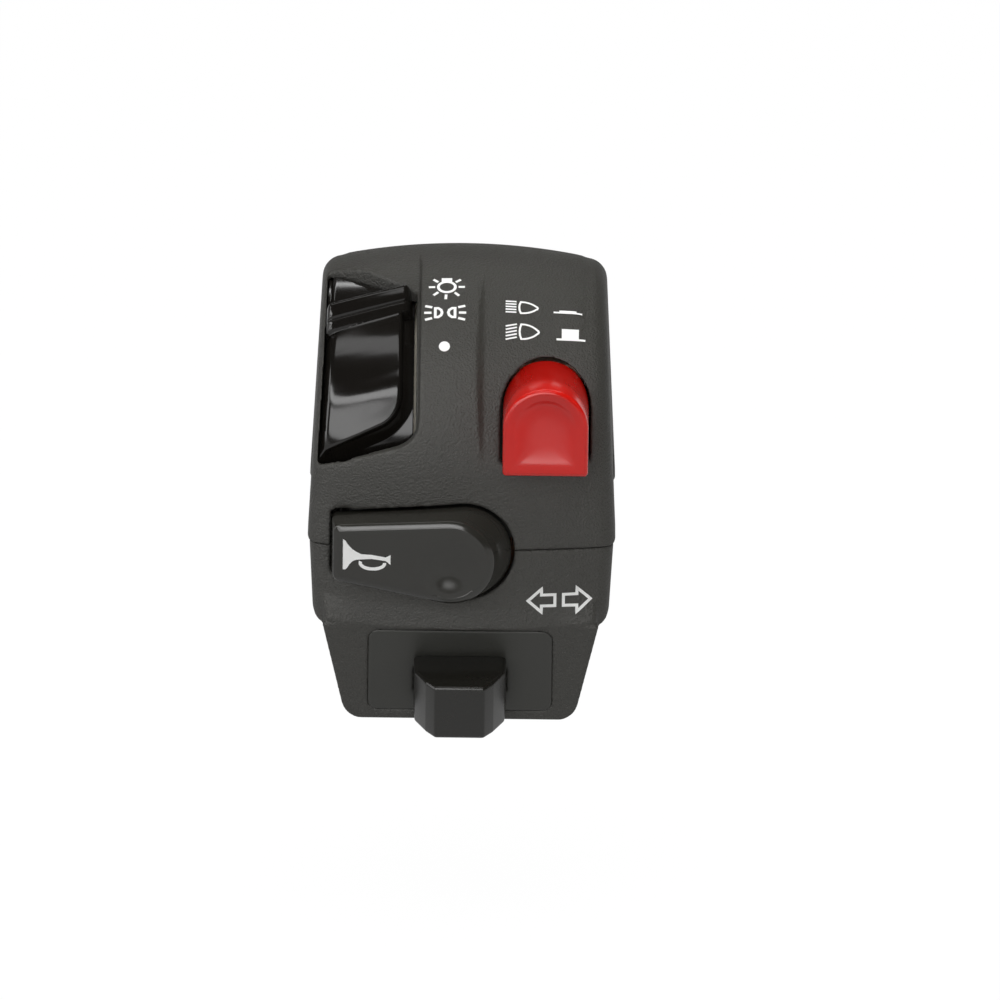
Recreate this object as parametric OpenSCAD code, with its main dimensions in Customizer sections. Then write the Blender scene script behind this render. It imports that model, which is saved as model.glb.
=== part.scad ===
// Left handlebar switch cluster for a motorbike with a 22 mm bar.
// The origin is the centre of the bar clamp, X runs along the bar, Z is up and -Y faces the rider.
// The upper and lower housings part at Z = 0 and close round the bar.

/* [Housing] */
// Width of the housing at the seam
body_w = 47; // [46:0.2:50]
// Distance from the bar axis to the upright front wall
front_y = 22.5; // [22.3:0.1:23.5]
// Distance from the bar axis to the rear wall
rear_y = 15.5; // [15.3:0.1:17]
// Radius of the rounded upper front
dome_r = 27.5; // [27.3:0.1:28.5]
// Height of that radius's centre above the bar axis
dome_z = 11.3; // [11:0.1:12]
// Inward lean of each side of the upper housing, in degrees
side_taper = 3; // [2:0.1:3.2]
// Radius of the slight sideways bow of the front
face_bow_r = 97; // [90:1:140]
// Rounding of the front's side edges
edge_r = 3.2; // [2.6:0.1:3.8]
// Thickness of the moulded walls
wall = 2.2; // [2:0.1:2.4]
// Depth of the lower housing's skirt below the seam
skirt_h = 13; // [12.6:0.1:14]
// Rounding of the skirt's lower corners
skirt_corner_r = 2; // [1.5:0.1:3]
// How far the lower housing stands inside the upper one at the seam
seam_step = 0.3; // [0.1:0.05:0.5]

/* [Bar clamp] */
// Diameter of the clamp bore
bar_d = 22.2; // [22:0.1:22.6]
// Wall of the half-round saddles
saddle_wall = 2.4; // [2:0.1:2.6]
// Length of each saddle along the bar
saddle_len = 5; // [4:0.1:5.4]
// Diameter of the clamp screws
screw_d = 4; // [3.5:0.1:4.2]
// Sideways place of the clamp screws
screw_x = 14; // [12:0.5:16]
// Height of each screw boss above and below the seam
boss_h = 10; // [9:0.5:11]

/* [Light switch] */
// Distance from the left side to the step wall beside the lever
step_side = 16.8; // [16.4:0.1:17.2]
// Depth of the stepped-down area at the crown
step_depth = 2.2; // [2:0.1:2.4]
// Height at which the area's lower edge meets the left side
step_low_z = 12; // [11.8:0.1:12.6]
// Slope of that lower edge, in degrees
step_slope = 16; // [12:1:20]
// Rounding where the lower edge meets the step wall
step_corner_r = 4.5; // [3:0.1:6]
// Distance from the step wall to the lever pad
lever_margin = 2.5; // [2:0.1:2.8]
// Height of the lever pad above its tail
pad_h = 1.5; // [1.2:0.1:1.6]
// Height of the thumb ridge above the pad
ridge_h = 2.1; // [1.6:0.1:2.4]
// Travel from one light position to the next, in degrees
light_step = 12; // [10:0.5:12]

/* [Beam button] */
// Width of the red button
beam_w = 13; // [12:0.1:13.4]
// Height of the red button
beam_h = 13.9; // [13:0.1:14.5]
// Distance from the right side to the button's middle
beam_side = 10.9; // [10.7:0.1:11.3]
// Height of the button's lower edge
beam_z = 14.2; // [14:0.1:14.8]
// How far its face stands in front of the front wall
beam_out = 6.6; // [5.5:0.1:7.5]
// Travel of the button
beam_travel = 3.8; // [3:0.1:4]
// Size of the button's square stem
stem = 9; // [8.4:0.1:9.2]

/* [Horn paddle] */
// Radius of the paddle's round end at the housing
horn_r = 7.2; // [6.8:0.1:7.4]
// Sideways place of the round end at the housing
horn_x = 0.4; // [0:0.1:0.8]
// Distance from the left side to the paddle's left end
horn_side = 3.9; // [3.5:0.1:4.4]
// How far the paddle's face stands in front of the front wall
horn_out = 4; // [3:0.1:4.5]
// Radius of the thumb dimple
dimple_r = 4.6; // [3.5:0.1:5]
// Swing of the paddle when it is pressed, in degrees
horn_swing = 6; // [4:0.5:6]

/* [Turn switch] */
// Backward lean of the turn panel, in degrees
turn_tilt = 15; // [12:1:18]
// How far the turn box stands inside each side of the housing
box_side = 2.5; // [2:0.1:3]
// Inward lean of each side of the turn box over its height
box_lean = 3.1; // [2.4:0.1:3.4]
// Level of the turn box's foot below the bar axis
box_foot = 29.3; // [29:0.1:31]
// Width of the inset panel
panel_w = 27.8; // [27.4:0.1:29]
// Length of the inset panel down its slope
panel_l = 14.3; // [14:0.1:14.6]
// Rounding of the panel's corners
panel_corner_r = 1.6; // [1:0.1:2.4]
// Width of the slider at its foot
knob_w = 14.2; // [13:0.1:15]
// Length of the slider down the slope
knob_l = 9.5; // [9:0.1:10]
// How far the slider stands out of the panel
knob_out = 9; // [8:0.1:10]
// Travel of the slider to each side
turn_travel = 5; // [4:0.1:5]

/* [Cable outlet] */
// Diameter of the grommet's bore
cable_d = 6; // [5:0.1:6.4]

/* [Fits] */
// Gap between pieces that move past each other
gap = 0.35; // [0.3:0.01:0.4]
// Gap round a guided stem, pin or peg
slide_fit = 0.1; // [0.06:0.01:0.12]
// Open line where two fixed mouldings meet
seam_gap = 0.15; // [0.1:0.01:0.2]

/* [Hidden] */

$fn = 96;
// Facets of the wide bow circle and of small rounds
bow_fn = 720;
small_fn = 32;
// A length that reaches past every part, and the overlap that joins or cuts cleanly
far = 120;
lap = 0.5;

// Centre of the rounded upper front, which is also the centre of the light lever's track
dome_y = dome_r - front_y;
half_w = body_w / 2;
half_mid = half_w - dome_z * tan(side_taper);
step_x = step_side - half_w;
lever_right = step_x - lever_margin;
beam_x = half_w - beam_side;
horn_left = horn_side - half_w;
box_top_half = half_w - box_side;
box_foot_half = box_top_half - box_lean;
// Beyond this place to each side the housings lean inwards
zone_x = half_mid - edge_r - 1.6;
skirt_taper = 3;
bar_r = bar_d / 2;
saddle_r = bar_r + saddle_wall;

// Clamp screws stand behind the bar
screw_r = screw_d / 2;
head_r = screw_r * 1.75;
head_h = screw_d * 0.9;
boss_r = head_r + 1;
screw_y = bar_r + screw_r + 2.9;
screw_reach = boss_h - 2.5;

// Radii of the light switch's layers, from the outside in
floor_r = dome_r - step_depth;
floor_thick = 1.5;
tail_r = floor_r - floor_thick - gap;
tail_thick = 1.8;
pad_r = tail_r + pad_h;
ridge_r = pad_r + ridge_h;
track_r = tail_r - tail_thick - 0.3;
track_thick = 2;
strip_thick = 0.4;
keeper_r = track_r - track_thick - gap - strip_thick;
keeper_thick = 1.4;
light_range = 2 * light_step;
// Angles above the horizontal, seen from the left, at which the light switch's pieces end
tail_low = 0;
tail_high = 109;
track_low = 2;
track_high = 98;
rib_low = 52;
rib_high = 64;
pad_low_z = step_low_z + 1.2;
pad_slope = 24.5;
ridge_angle = 64.5;
// The floor behind the lever is a round about an axis set back from the dome's
crown_shift = 4.6;
crown_angle = 140;
ridge_slant = 19;
detent_angle = (rib_low + rib_high) / 2;
// The thin strip of wall outside the lever, and the lever's own left edge
strip_wall = 0.75;
lever_inset = strip_wall + gap;
window_right = step_x - 0.5;
track_left = -(half_w - wall - (dome_z + track_r) * tan(side_taper)) + 0.2;
rib_x = (lever_right + track_left) / 2 - 0.4;
rib_w = 2.6;
keeper_w = 8.4;
contact_x = rib_x - keeper_w / 2 + 1;
leaf_x = rib_x + keeper_w / 2 - 1;

// Beam button, from its face to the contact plate
beam_face_y = -(front_y + beam_out);
cap_back_y = -(front_y - 7.5);
stem_back_y = cap_back_y + 13.5;
stem_z = beam_z + 5.8;
guide_front_y = cap_back_y + beam_travel + gap;
guide_back_y = stem_back_y + beam_travel + 1.2;
guide_wall = 1.5;
guide_half = stem / 2 + slide_fit + guide_wall;
plate_thick = 1.5;
spring_r = 2.2;
spring_wire_r = 0.3;
spring_turns = 7;
spring_seat_y = stem_back_y - 8;
latch_r = 0.4;
latch_z = stem_z + stem / 2 + latch_r + 0.3;
latch_end_y = stem_back_y - 2.1;
// Angle at which the web from the track to the guide clears the pressed button
web_low = acos((dome_y - guide_front_y) / (track_r - 0.2));
ear_thick = 1.5;
ear_top_z = stem_z + guide_half;
carrier_posts = [[beam_x - guide_half - 3.2, -3], [beam_x, guide_back_y + 5.2]];
post_r = 2.6;
carrier_screw_r = 1.1;

// Horn paddle: the housing's opening, the smaller face and the hinge at the left
horn_end = [horn_x, -0.3];
horn_face_end = [horn_x - 2, -0.6];
horn_face_r = horn_r - 0.5;
horn_top_z = 5.2;
horn_low_z = -4.4;
horn_back_y = -(front_y - wall - 0.1);
hinge_x = horn_left + 1.9;
hinge_y = horn_back_y + 2.1;
hinge_r = 0.9;
hinge_wall = 0.75;
horn_gap = gap + 0.15;
lug_low_z = horn_low_z + 0.3;
lug_high_z = lug_low_z + 1.9;
hinge_boss_h = 1.7;
dimple = [horn_face_end[0] - 0.1, -1.6];
dimple_depth = 1.5;
dimple_ball_r = (pow(dimple_r, 2) + pow(dimple_depth, 2)) / (2 * dimple_depth);
horn_face_tilt = 3;
dimple_face_y = -(front_y + horn_out - 0.5 + (dimple[0] - horn_left) * tan(horn_face_tilt));
prong_r = 1.2;
blade_x = horn_left + 8.6;
blade_y = horn_back_y + 3.4;
horn_base_y = blade_y + 1.8;
horn_base_thick = 1.6;
horn_posts = [[horn_left + 7.1, -9.2], [horn_end[0] + horn_r + 2.4, -6]];
horn_post_r = 1.6;

// Turn switch: the panel's plane and the layers behind it
box_front_y = -(front_y - 1.2);
turn_z = -(skirt_h + 9.1);
turn_y = box_front_y + (-skirt_h - turn_z) * tan(turn_tilt);
panel_up = 1.55;
panel_thick = wall;
flange_thick = 1.2;
carriage_top = -(panel_thick + flange_thick + 0.3);
carriage_thick = 2.7;
carriage_low = carriage_top - carriage_thick;
carriage_half = 6;
bridge_low = carriage_low - strip_thick;
base_top = bridge_low - gap;
base_thick = 1.8;
base_low = base_top - base_thick;
shank_w = 3.2;
shank_l = 4;
panel_post_x = panel_w / 2 - 1.3;
panel_post_r = 1.2;
small_screw_r = 0.8;

grommet_x = 12.5 - half_w;
grommet_z = -(skirt_h + 5.9);
grommet_y = 12;
seat_gap = slide_fit / 2;
cable_r = cable_d / 2;

house_grey = [0.22, 0.22, 0.21];
gloss_black = [0.08, 0.08, 0.07];
button_red = [0.80, 0.16, 0.12];
carrier_black = [0.15, 0.15, 0.16];
brass_tone = [0.78, 0.62, 0.30];
steel_tone = [0.66, 0.67, 0.69];
phenolic_brown = [0.45, 0.30, 0.17];

// Point where the tangent from a point touches a circle, on the chosen side
function tangent_point(p, c, r, side) =
    let (d = p - c, reach = norm(d), turn = atan2(d[1], d[0]) + side * acos(r / reach))
    c + r * [cos(turn), sin(turn)];

// Places along the track of the light lever
function track_y(r, angle) = dome_y - r * cos(angle);
function track_z(r, angle) = dome_z + r * sin(angle);

// Turns a shape so that its Z axis is the track's axis and its angle rises from the front
module on_track() {
    translate([0, dome_y, dome_z]) rotate([90, 0, -90]) children();
}

// A block of the track between two places, two radii and two angles
module track_block(x0, x1, r0, r1, a0, a1) {
    on_track() rotate([0, 0, a0]) rotate_extrude(angle = a1 - a0)
        translate([r0, -x1]) square([r1 - r0, x1 - x0]);
}

// A round peg that points out from the track's axis
module track_peg(x, angle, r0, r1, peg_r) {
    on_track() translate([0, 0, -x]) rotate([0, 0, angle]) rotate([0, 90, 0])
        translate([0, 0, r0]) cylinder(r = peg_r, h = r1 - r0, $fn = small_fn);
}

// A flat shape in X and Z, drawn forwards from a depth
module forward_from(y) {
    translate([0, y, 0]) rotate([90, 0, 0]) linear_extrude(far) children();
}

// Front section: radius from the dome's axis along the first axis, width along the second
module section(inset, half, back) {
    r = dome_r - inset;
    bow = face_bow_r - inset;
    h = half - inset;
    f = max(edge_r - inset, 0.8);
    edge_u = r - bow + sqrt(pow(bow - f, 2) - pow(h - f, 2));
    edge_v = (h - f) * bow / (bow - f);
    intersection() {
        translate([r - bow, 0]) circle(bow, $fn = bow_fn);
        translate([back, -edge_v]) square([r - back, 2 * edge_v]);
    }
    translate([back, -h]) square([edge_u - back, 2 * h]);
    for (s = [-1, 1]) translate([edge_u, s * (h - f)]) circle(f);
}

// The front section carried up the upright wall and over the dome
module sweep(inset) {
    back = dome_y - rear_y - lap;
    translate([0, dome_y, -lap]) rotate([0, 0, -90]) linear_extrude(dome_z + lap) section(inset, half_mid, back);
    on_track() rotate_extrude(angle = 180) section(inset, half_mid, 0);
}

// Keeps the middle of a form upright and leans both its ends inwards about a level
module leaning_sides(angle, level) {
    intersection() {
        children();
        translate([-zone_x, -far / 2, -far / 2]) cube([2 * zone_x, far, far]);
    }
    for (side = [0, 1]) mirror([side, 0, 0]) intersection() {
        leaning(angle, level) children();
        translate([zone_x, -far / 2, -far / 2]) cube([far, far, far]);
    }
}

module leaning(angle, level) {
    translate([zone_x, 0, level]) rotate([0, -angle, 0]) translate([-zone_x, 0, -level]) children();
}

// Outer form of the upper housing, or its hollow at a depth below the surface
module upper_form(inset) {
    intersection() {
        leaning_sides(side_taper, dome_z) sweep(inset);
        translate([-far / 2, -far / 2, inset > 0 ? -lap / 4 : 0])
            cube([far, far / 2 + rear_y - inset, far]);
    }
}

// Everything to the right of the leaning left side, at a depth below it
module inside_left(inset) {
    translate([-half_w, 0, 0]) rotate([0, side_taper, 0])
        translate([inset, -far / 2, -far / 2]) cube([far, far, far]);
}

// Outline in X and Z that is open above, with a sloping lower edge and a rounded right-hand corner
module sloped_outline(right, left_z, slope, r) {
    left = -half_w - 2;
    low_left = [left, left_z - 2 * tan(slope)];
    c = [right - r, low_left[1] + (right - r - left) * tan(slope) + r / cos(slope)];
    foot = c + r * [sin(slope), -cos(slope)];
    polygon([low_left, foot, c, [right, c[1]], [right, far / 2], [left, far / 2]]);
    translate(c) circle(r);
}

module step_outline() {
    sloped_outline(step_x, step_low_z, step_slope, step_corner_r);
}

// The stepped-down area: what lies above its floor, which rises to the crown behind the lever
module light_recess() {
    difference() {
        forward_from(rear_y + lap) step_outline();
        track_block(-far, far, 0, floor_r, -90, 180);
        translate([0, track_y(crown_shift, crown_angle), track_z(crown_shift, crown_angle)]) rotate([0, 90, 0])
            cylinder(r = floor_r - 0.8, h = far, center = true);
    }
}

// Plan of the ground in front of the window's slanting upper edge, held back by a margin
module window_plan(margin) {
    linear_extrude(far, center = true)
        polygon([[-half_w, -far], [window_right, -far], [window_right, track_y(floor_r, 69) - margin],
            [-half_w, track_y(floor_r, 89) - margin]]);
}

// The lever's window: the step's outline, ended at the top by a slanting edge
module light_window() {
    intersection() {
        forward_from(rear_y) intersection() {
            step_outline();
            translate([-half_w, 0]) square([half_w + window_right, far]);
        }
        window_plan(0);
        inside_left(strip_wall);
    }
}

// The hollow in which the lever's tail and pad travel behind the walls
module lever_path() {
    intersection() {
        union() {
            track_block(-half_w, window_right, track_r - track_thick, pad_r + gap / 2,
                tail_low - light_range - 2, rib_high);
            track_block(-half_w, window_right, track_r, tail_r + gap, rib_low, tail_high + 1);
        }
        upper_form(strip_wall);
    }
}

// The hollowed right-hand panel: deepest beside the middle ridge, fading to its ends
module right_scoop() {
    scoop_x = 2;
    slope_w = 1;
    scoop_w = 17;
    scoop_depth = 0.9;
    scoop_angle = 40;
    shift = 6 * scoop_depth;
    bow_drop = pow(scoop_x + scoop_w, 2) / (2 * face_bow_r);
    r = dome_r + shift;
    difference() {
        translate([scoop_x, -far / 2, dome_z]) cube([scoop_w, far / 2 + dome_y, far]);
        translate([0, track_y(-shift, scoop_angle), track_z(-shift, scoop_angle)]) rotate([90, 0, -90])
            rotate_extrude() polygon([[0, -scoop_x - scoop_w - 1], [r - bow_drop, -scoop_x - scoop_w - 1],
                [r - bow_drop, -scoop_x - scoop_w], [r - scoop_depth, -scoop_x - slope_w],
                [r, -scoop_x], [r, 0], [0, 0]]);
    }
}

// Arch outline of the beam button in X and Z
module beam_arch(grow) {
    r = beam_w / 2 + grow;
    arch_z = beam_z + beam_h - beam_w / 2;
    translate([beam_x, arch_z]) circle(r);
    translate([beam_x - r, beam_z - grow]) square([2 * r, arch_z - beam_z + grow]);
}

// Outline of the horn paddle in X and Z: its long sides run just inside the edge of its round end
module horn_outline(end, r, left, top, low) {
    top_left = [left, top];
    low_left = [left, low];
    touch_r = r - 0.02;
    translate(end) circle(r);
    polygon([low_left, tangent_point(low_left, end, touch_r, 1), end, tangent_point(top_left, end, touch_r, -1),
        top_left]);
}

module horn_opening() {
    forward_from(hinge_y + 1.4)
        horn_outline(horn_end, horn_r + horn_gap, horn_left - gap, horn_top_z + gap, horn_low_z - gap);
}

module bar_bore() {
    rotate([0, 90, 0]) cylinder(r = bar_r, h = far, center = true);
}

// Solid rings that the hollow leaves at both ends, to hold the bar
module saddles() {
    for (s = [-1, 1]) translate([s * (half_w - saddle_len / 2 + lap), 0, 0]) rotate([0, 90, 0])
        cylinder(r = saddle_r, h = saddle_len + 2 * lap, center = true);
}

// A bolt boss behind the bar, from the seam to the boss's end, with its bridge to the wall
module screw_bosses(z0, z1) {
    for (s = [-1, 1]) {
        translate([s * screw_x, screw_y, z0]) cylinder(r = boss_r, h = z1 - z0);
        translate([s * screw_x - boss_r, rear_y - wall, z0])
            cube([2 * boss_r, screw_y - rear_y + wall, z1 - z0]);
    }
}

module carrier_posts() {
    intersection() {
        for (p = carrier_posts) translate([p[0], p[1], ear_top_z]) cylinder(r = post_r, h = far);
        upper_form(wall / 2);
    }
}

module upper_housing() {
    color(house_grey) difference() {
        union() {
            difference() {
                upper_form(0);
                right_scoop();
                difference() {
                    upper_form(wall);
                    saddles();
                    track_block(-half_w, step_x + 2, floor_r - floor_thick, dome_r, rib_low, 120);
                }
            }
            carrier_posts();
            screw_bosses(0, boss_h);
        }
        light_recess();
        light_window();
        lever_path();
        forward_from(guide_front_y + 2) beam_arch(gap);
        horn_opening();
        bar_bore();
        for (s = [-1, 1]) translate([s * screw_x, screw_y, -lap])
            cylinder(r = screw_r + slide_fit / 2, h = screw_reach + lap + 0.5);
        for (p = carrier_posts) translate([p[0], p[1], ear_top_z - lap])
            cylinder(r = carrier_screw_r + slide_fit / 2, h = 6 + lap, $fn = small_fn);
    }
}

// Turns a shape so that its Z axis points out of the turn panel and its Y axis points up the panel
module on_panel() {
    translate([0, turn_y, turn_z]) rotate([90 + turn_tilt, 0, 0]) children();
}

// Skirt of the lower housing, at a depth below its surface
module skirt(inset) {
    depth = seam_step + inset;
    intersection() {
        leaning_sides(-skirt_taper, 0) skirt_straight(depth);
        translate([0, far / 2, 0]) forward_from(0) skirt_outline(inset);
    }
}

module skirt_straight(depth) {
    translate([0, dome_y, -skirt_h - 2 * lap]) rotate([0, 0, -90]) linear_extrude(skirt_h + 4 * lap)
        section(depth, half_w, dome_y - rear_y + depth);
}

// Front outline of the skirt with rounded lower corners
module skirt_outline(inset) {
    top = inset >= wall ? lap / 4 : -seam_gap;
    half = half_w - seam_step - skirt_h * tan(skirt_taper) - inset;
    r = max(skirt_corner_r - inset, 0.5);
    low = -skirt_h + inset;
    for (s = [-1, 1]) translate([s * (half - r), low + r]) circle(r);
    translate([-half + r, low]) square([2 * (half - r), top - low]);
    translate([-half_w, low + r]) square([2 * half_w, top - low - r]);
}

// Turn box below the skirt, at a depth below its surface
module turn_box(inset) {
    top = inset > 0 ? -skirt_h + inset + lap : -skirt_h + lap;
    lean = (box_top_half - box_foot_half) / (box_foot - skirt_h);
    foot = -box_foot + inset;
    r = max(skirt_corner_r - inset, 0.5);
    foot_half = box_foot_half - inset;
    front = box_front_y + inset / cos(turn_tilt);
    rise = tan(turn_tilt);
    intersection() {
        translate([0, far / 2, 0]) forward_from(0) {
            for (s = [-1, 1]) translate([s * (foot_half - r), foot + r]) circle(r);
            translate([-foot_half + r, foot]) square([2 * (foot_half - r), r]);
            polygon([[-foot_half, foot + r], [foot_half, foot + r], [foot_half + (top - foot) * lean, top],
                [-foot_half - (top - foot) * lean, top]]);
        }
        translate([-half_w, 0, 0]) rotate([90, 0, 90]) linear_extrude(body_w)
            polygon([[front - (top + skirt_h) * rise, top], [front + (-skirt_h - foot) * rise, foot],
                [-4 - inset, foot], [6 - inset, -22 + inset], [12 - inset, top]]);
    }
}

// Rounded outline of the turn panel, or of its opening
module turn_opening(grow) {
    r = panel_corner_r + grow;
    half = panel_w / 2 + grow;
    reach = panel_l / 2 + grow;
    for (x = [r - half, half - r], y = [r - reach, reach - r]) translate([x, panel_up + y]) circle(r);
    translate([r - half, panel_up - reach]) square([2 * (half - r), 2 * reach]);
    translate([-half, panel_up - reach + r]) square([2 * half, 2 * (reach - r)]);
}

module hinge_bosses() {
    for (z = [lug_low_z - 0.3 - hinge_boss_h, lug_high_z + 0.3]) {
        translate([hinge_x, hinge_y, z]) cylinder(r = hinge_r + hinge_wall, h = hinge_boss_h);
        translate([-half_w + seam_step + wall / 2, hinge_y - hinge_r - hinge_wall, z])
            cube([hinge_x + half_w - seam_step - wall / 2, 2 * (hinge_r + hinge_wall), hinge_boss_h]);
    }
}

module horn_base_posts(r, y0, y1) {
    for (p = horn_posts) translate([p[0], y1, p[1]]) rotate([90, 0, 0])
        cylinder(r = r, h = y1 - y0, $fn = small_fn);
}

// Tongue that keeps the two front walls in line
module tongue() {
    translate([0, dome_y, -3]) rotate([0, 0, -90]) linear_extrude(4.5) intersection() {
        difference() {
            section(wall + 0.15, half_w, 0);
            section(wall + 1.4, half_w, 0);
        }
        translate([0, 9.5]) square([dome_r, 6.5]);
    }
}

module lower_housing() {
    color(house_grey) difference() {
        union() {
            difference() {
                union() {
                    skirt(0);
                    turn_box(0);
                }
                difference() {
                    skirt(wall);
                    saddles();
                }
                turn_box(wall);
                horn_opening();
            }
            screw_bosses(-boss_h, -seam_gap);
            translate([grommet_x, grommet_y - seat_gap, grommet_z]) rotate([90, 0, 0])
                cylinder(r = cable_r + 3.2, h = 10.6);
            intersection() {
                hinge_bosses();
                skirt(wall / 2);
            }
            horn_base_posts(horn_post_r, -front_y + wall / 2 + 0.6, horn_base_y);
            tongue();
        }
        bar_bore();
        on_panel() translate([0, 0, -panel_thick - lap]) linear_extrude(far) turn_opening(seam_gap);
        translate([hinge_x, hinge_y, lug_low_z - 0.3 - hinge_boss_h - lap])
            cylinder(r = hinge_r, h = far / 10, $fn = small_fn);
        horn_base_posts(small_screw_r, horn_base_y - 2.5, horn_base_y + lap);
        translate([grommet_x, grommet_y + lap, grommet_z]) rotate([90, 0, 0])
            cylinder(r = cable_r + 1.2 + seat_gap, h = 12);
        translate([grommet_x, grommet_y - 6.6 + seat_gap, grommet_z]) rotate([90, 0, 0])
            cylinder(r = cable_r + 2.1, h = 5);
        for (s = [-1, 1]) translate([s * screw_x, screw_y, -boss_h - lap]) {
            cylinder(r = screw_r + slide_fit, h = boss_h + 2 * lap);
            cylinder(r = head_r + 0.2, h = head_h + lap + 0.2);
        }
    }
}

module clamp_screws() {
    color(steel_tone) for (s = [-1, 1]) translate([s * screw_x, screw_y, -boss_h]) {
        difference() {
            translate([0, 0, 0.2]) cylinder(r = head_r, h = head_h);
            cylinder(r = screw_r * 0.87, h = head_h / 2 + 0.2, $fn = 6);
        }
        translate([0, 0, head_h]) cylinder(r = screw_r, h = boss_h - head_h + screw_reach);
    }
}

module cable_grommet() {
    color(gloss_black) translate([grommet_x, grommet_y + 1.5, grommet_z]) rotate([90, 0, 0]) difference() {
        union() {
            cylinder(r = cable_r + 2.4, h = 1.5);
            cylinder(r = cable_r + 1.2, h = 9.5);
            translate([0, 0, 8.1]) cylinder(r = cable_r + 2, h = 1.4);
        }
        translate([0, 0, -lap]) cylinder(r = cable_r, h = 9.5 + 2 * lap);
    }
}

module light_track_holes() {
    for (i = [0 : 2]) {
        angle = detent_angle - i * light_step;
        track_peg(contact_x, angle, track_r - track_thick - lap, track_r + lap, 0.9);
        on_track() rotate([0, 0, angle]) translate([track_r - track_thick, 0, -leaf_x - 1])
            cylinder(r = 0.6, h = 2, $fn = small_fn);
    }
}

module switch_carrier() {
    guide_left = beam_x - guide_half;
    color(carrier_black) difference() {
        union() {
            difference() {
                track_block(track_left, window_right, track_r - track_thick, track_r, track_low, track_high);
                track_block(rib_x - rib_w / 2 - gap, rib_x + rib_w / 2 + gap, track_r - track_thick - lap,
                    track_r + lap, rib_low - light_range - 2, rib_high + 2);
                light_track_holes();
            }
            track_block(window_right - lap, guide_left + lap, track_r - track_thick + 0.2, track_r - 0.2,
                web_low, web_low + 8);
            translate([guide_left, guide_front_y, stem_z - guide_half])
                cube([2 * guide_half, guide_back_y - guide_front_y, 2 * guide_half]);
            translate([guide_left - 6, -5.8, ear_top_z - ear_thick]) cube([6 + lap, 5.6, ear_thick]);
            translate([beam_x - 2.8, guide_back_y - 2, ear_top_z - ear_thick]) cube([5.6, 10, ear_thick]);
        }
        translate([beam_x - stem / 2 - slide_fit, guide_front_y - lap, stem_z - stem / 2 - slide_fit])
            cube([stem + 2 * slide_fit, guide_back_y - guide_front_y + 2 * lap, stem + 2 * slide_fit]);
        translate([beam_x - 0.7, latch_end_y - 1.2, latch_z - 1.5]) cube([1.4, 3.2, 4]);
        translate([beam_x, guide_back_y, latch_z]) rotate([90, 0, 0])
            cylinder(r = latch_r, h = guide_back_y - latch_end_y, $fn = small_fn);
        for (p = carrier_posts) translate([p[0], p[1], ear_top_z - ear_thick - lap])
            cylinder(r = carrier_screw_r + slide_fit, h = ear_thick + 2 * lap, $fn = small_fn);
    }
}

module carrier_screws() {
    color(steel_tone) for (p = carrier_posts) translate([p[0], p[1], ear_top_z - ear_thick]) difference() {
        union() {
            translate([0, 0, -1.2]) cylinder(r = 2, h = 1.2, $fn = small_fn);
            cylinder(r = carrier_screw_r, h = ear_thick + 5.5, $fn = small_fn);
        }
        translate([-2, -0.3, -1.3]) cube([4, 0.6, 0.7]);
    }
}

module light_lever() {
    color(gloss_black) {
        difference() {
            intersection() {
                union() {
                    track_block(-half_w, window_right - gap, tail_r - tail_thick, tail_r, tail_low, tail_high);
                    intersection() {
                        track_block(-half_w, lever_right, tail_r - lap, pad_r, tail_low, 63);
                        forward_from(dome_y) sloped_outline(lever_right, pad_low_z, pad_slope, 1.5);
                    }
                    intersection() {
                        track_block(1 - half_w, lever_right - 0.2, tail_r - 0.7, pad_r - 0.35, 61, 86);
                        window_plan(0.5);
                    }
                }
                mirror([1, 0, 0]) leaning(side_taper, dome_z) sweep(lever_inset);
            }
            thumb_bar([[tail_r + 0.6, -2.9], [far, -2.9], [far, -2.2], [tail_r + 0.6, -2.2]], 2);
            thumb_bar([[tail_r + 0.6, -4.2], [far, -4.2], [far, -3.5], [tail_r + 0.6, -3.5]], 2);
        }
        thumb_bar([[tail_r - 0.9, -1.6], [ridge_r - 0.6, -0.75], [ridge_r, -0.2], [ridge_r, 0.4],
            [ridge_r - 0.7, 0.8], [tail_r - 0.9, 1]], 0);
        track_block(rib_x - rib_w / 2, rib_x + rib_w / 2, keeper_r - keeper_thick, tail_r - tail_thick + lap,
            rib_low, rib_high);
    }
}

// A bar across the lever with a profile in radius and distance along the track
module thumb_bar(profile, longer) {
    bar_l = (lever_right - track_left) / cos(ridge_slant) + longer;
    on_track() rotate([0, 0, ridge_angle]) translate([0, 0, -(lever_right + track_left) / 2])
        rotate([ridge_slant, 0, 0]) linear_extrude(bar_l, center = true) polygon(profile);
}

module light_keeper() {
    color(carrier_black) difference() {
        track_block(rib_x - keeper_w / 2, rib_x + keeper_w / 2, keeper_r - keeper_thick, keeper_r,
            rib_low - 4, rib_high + 4);
        track_block(rib_x - rib_w / 2, rib_x + rib_w / 2, keeper_r - keeper_thick - lap, keeper_r + lap,
            rib_low, rib_high);
    }
}

module light_contact_bridge() {
    color(brass_tone) track_block(contact_x - 0.6, contact_x + 0.6, keeper_r, keeper_r + strip_thick,
        rib_low - 3, rib_high + 3);
}

module light_detent_leaf() {
    color(steel_tone) {
        track_block(leaf_x - 0.6, leaf_x + 0.6, keeper_r, keeper_r + strip_thick, rib_low - 3, rib_high + 3);
        on_track() rotate([0, 0, detent_angle]) translate([keeper_r + strip_thick, 0, -leaf_x - 0.6])
            cylinder(r = 0.25, h = 1.2, $fn = small_fn);
    }
}

module light_fixed_contacts() {
    color(brass_tone) for (i = [0 : 2])
        track_peg(contact_x, detent_angle - i * light_step, track_r - track_thick, track_r, 0.9);
}

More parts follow.
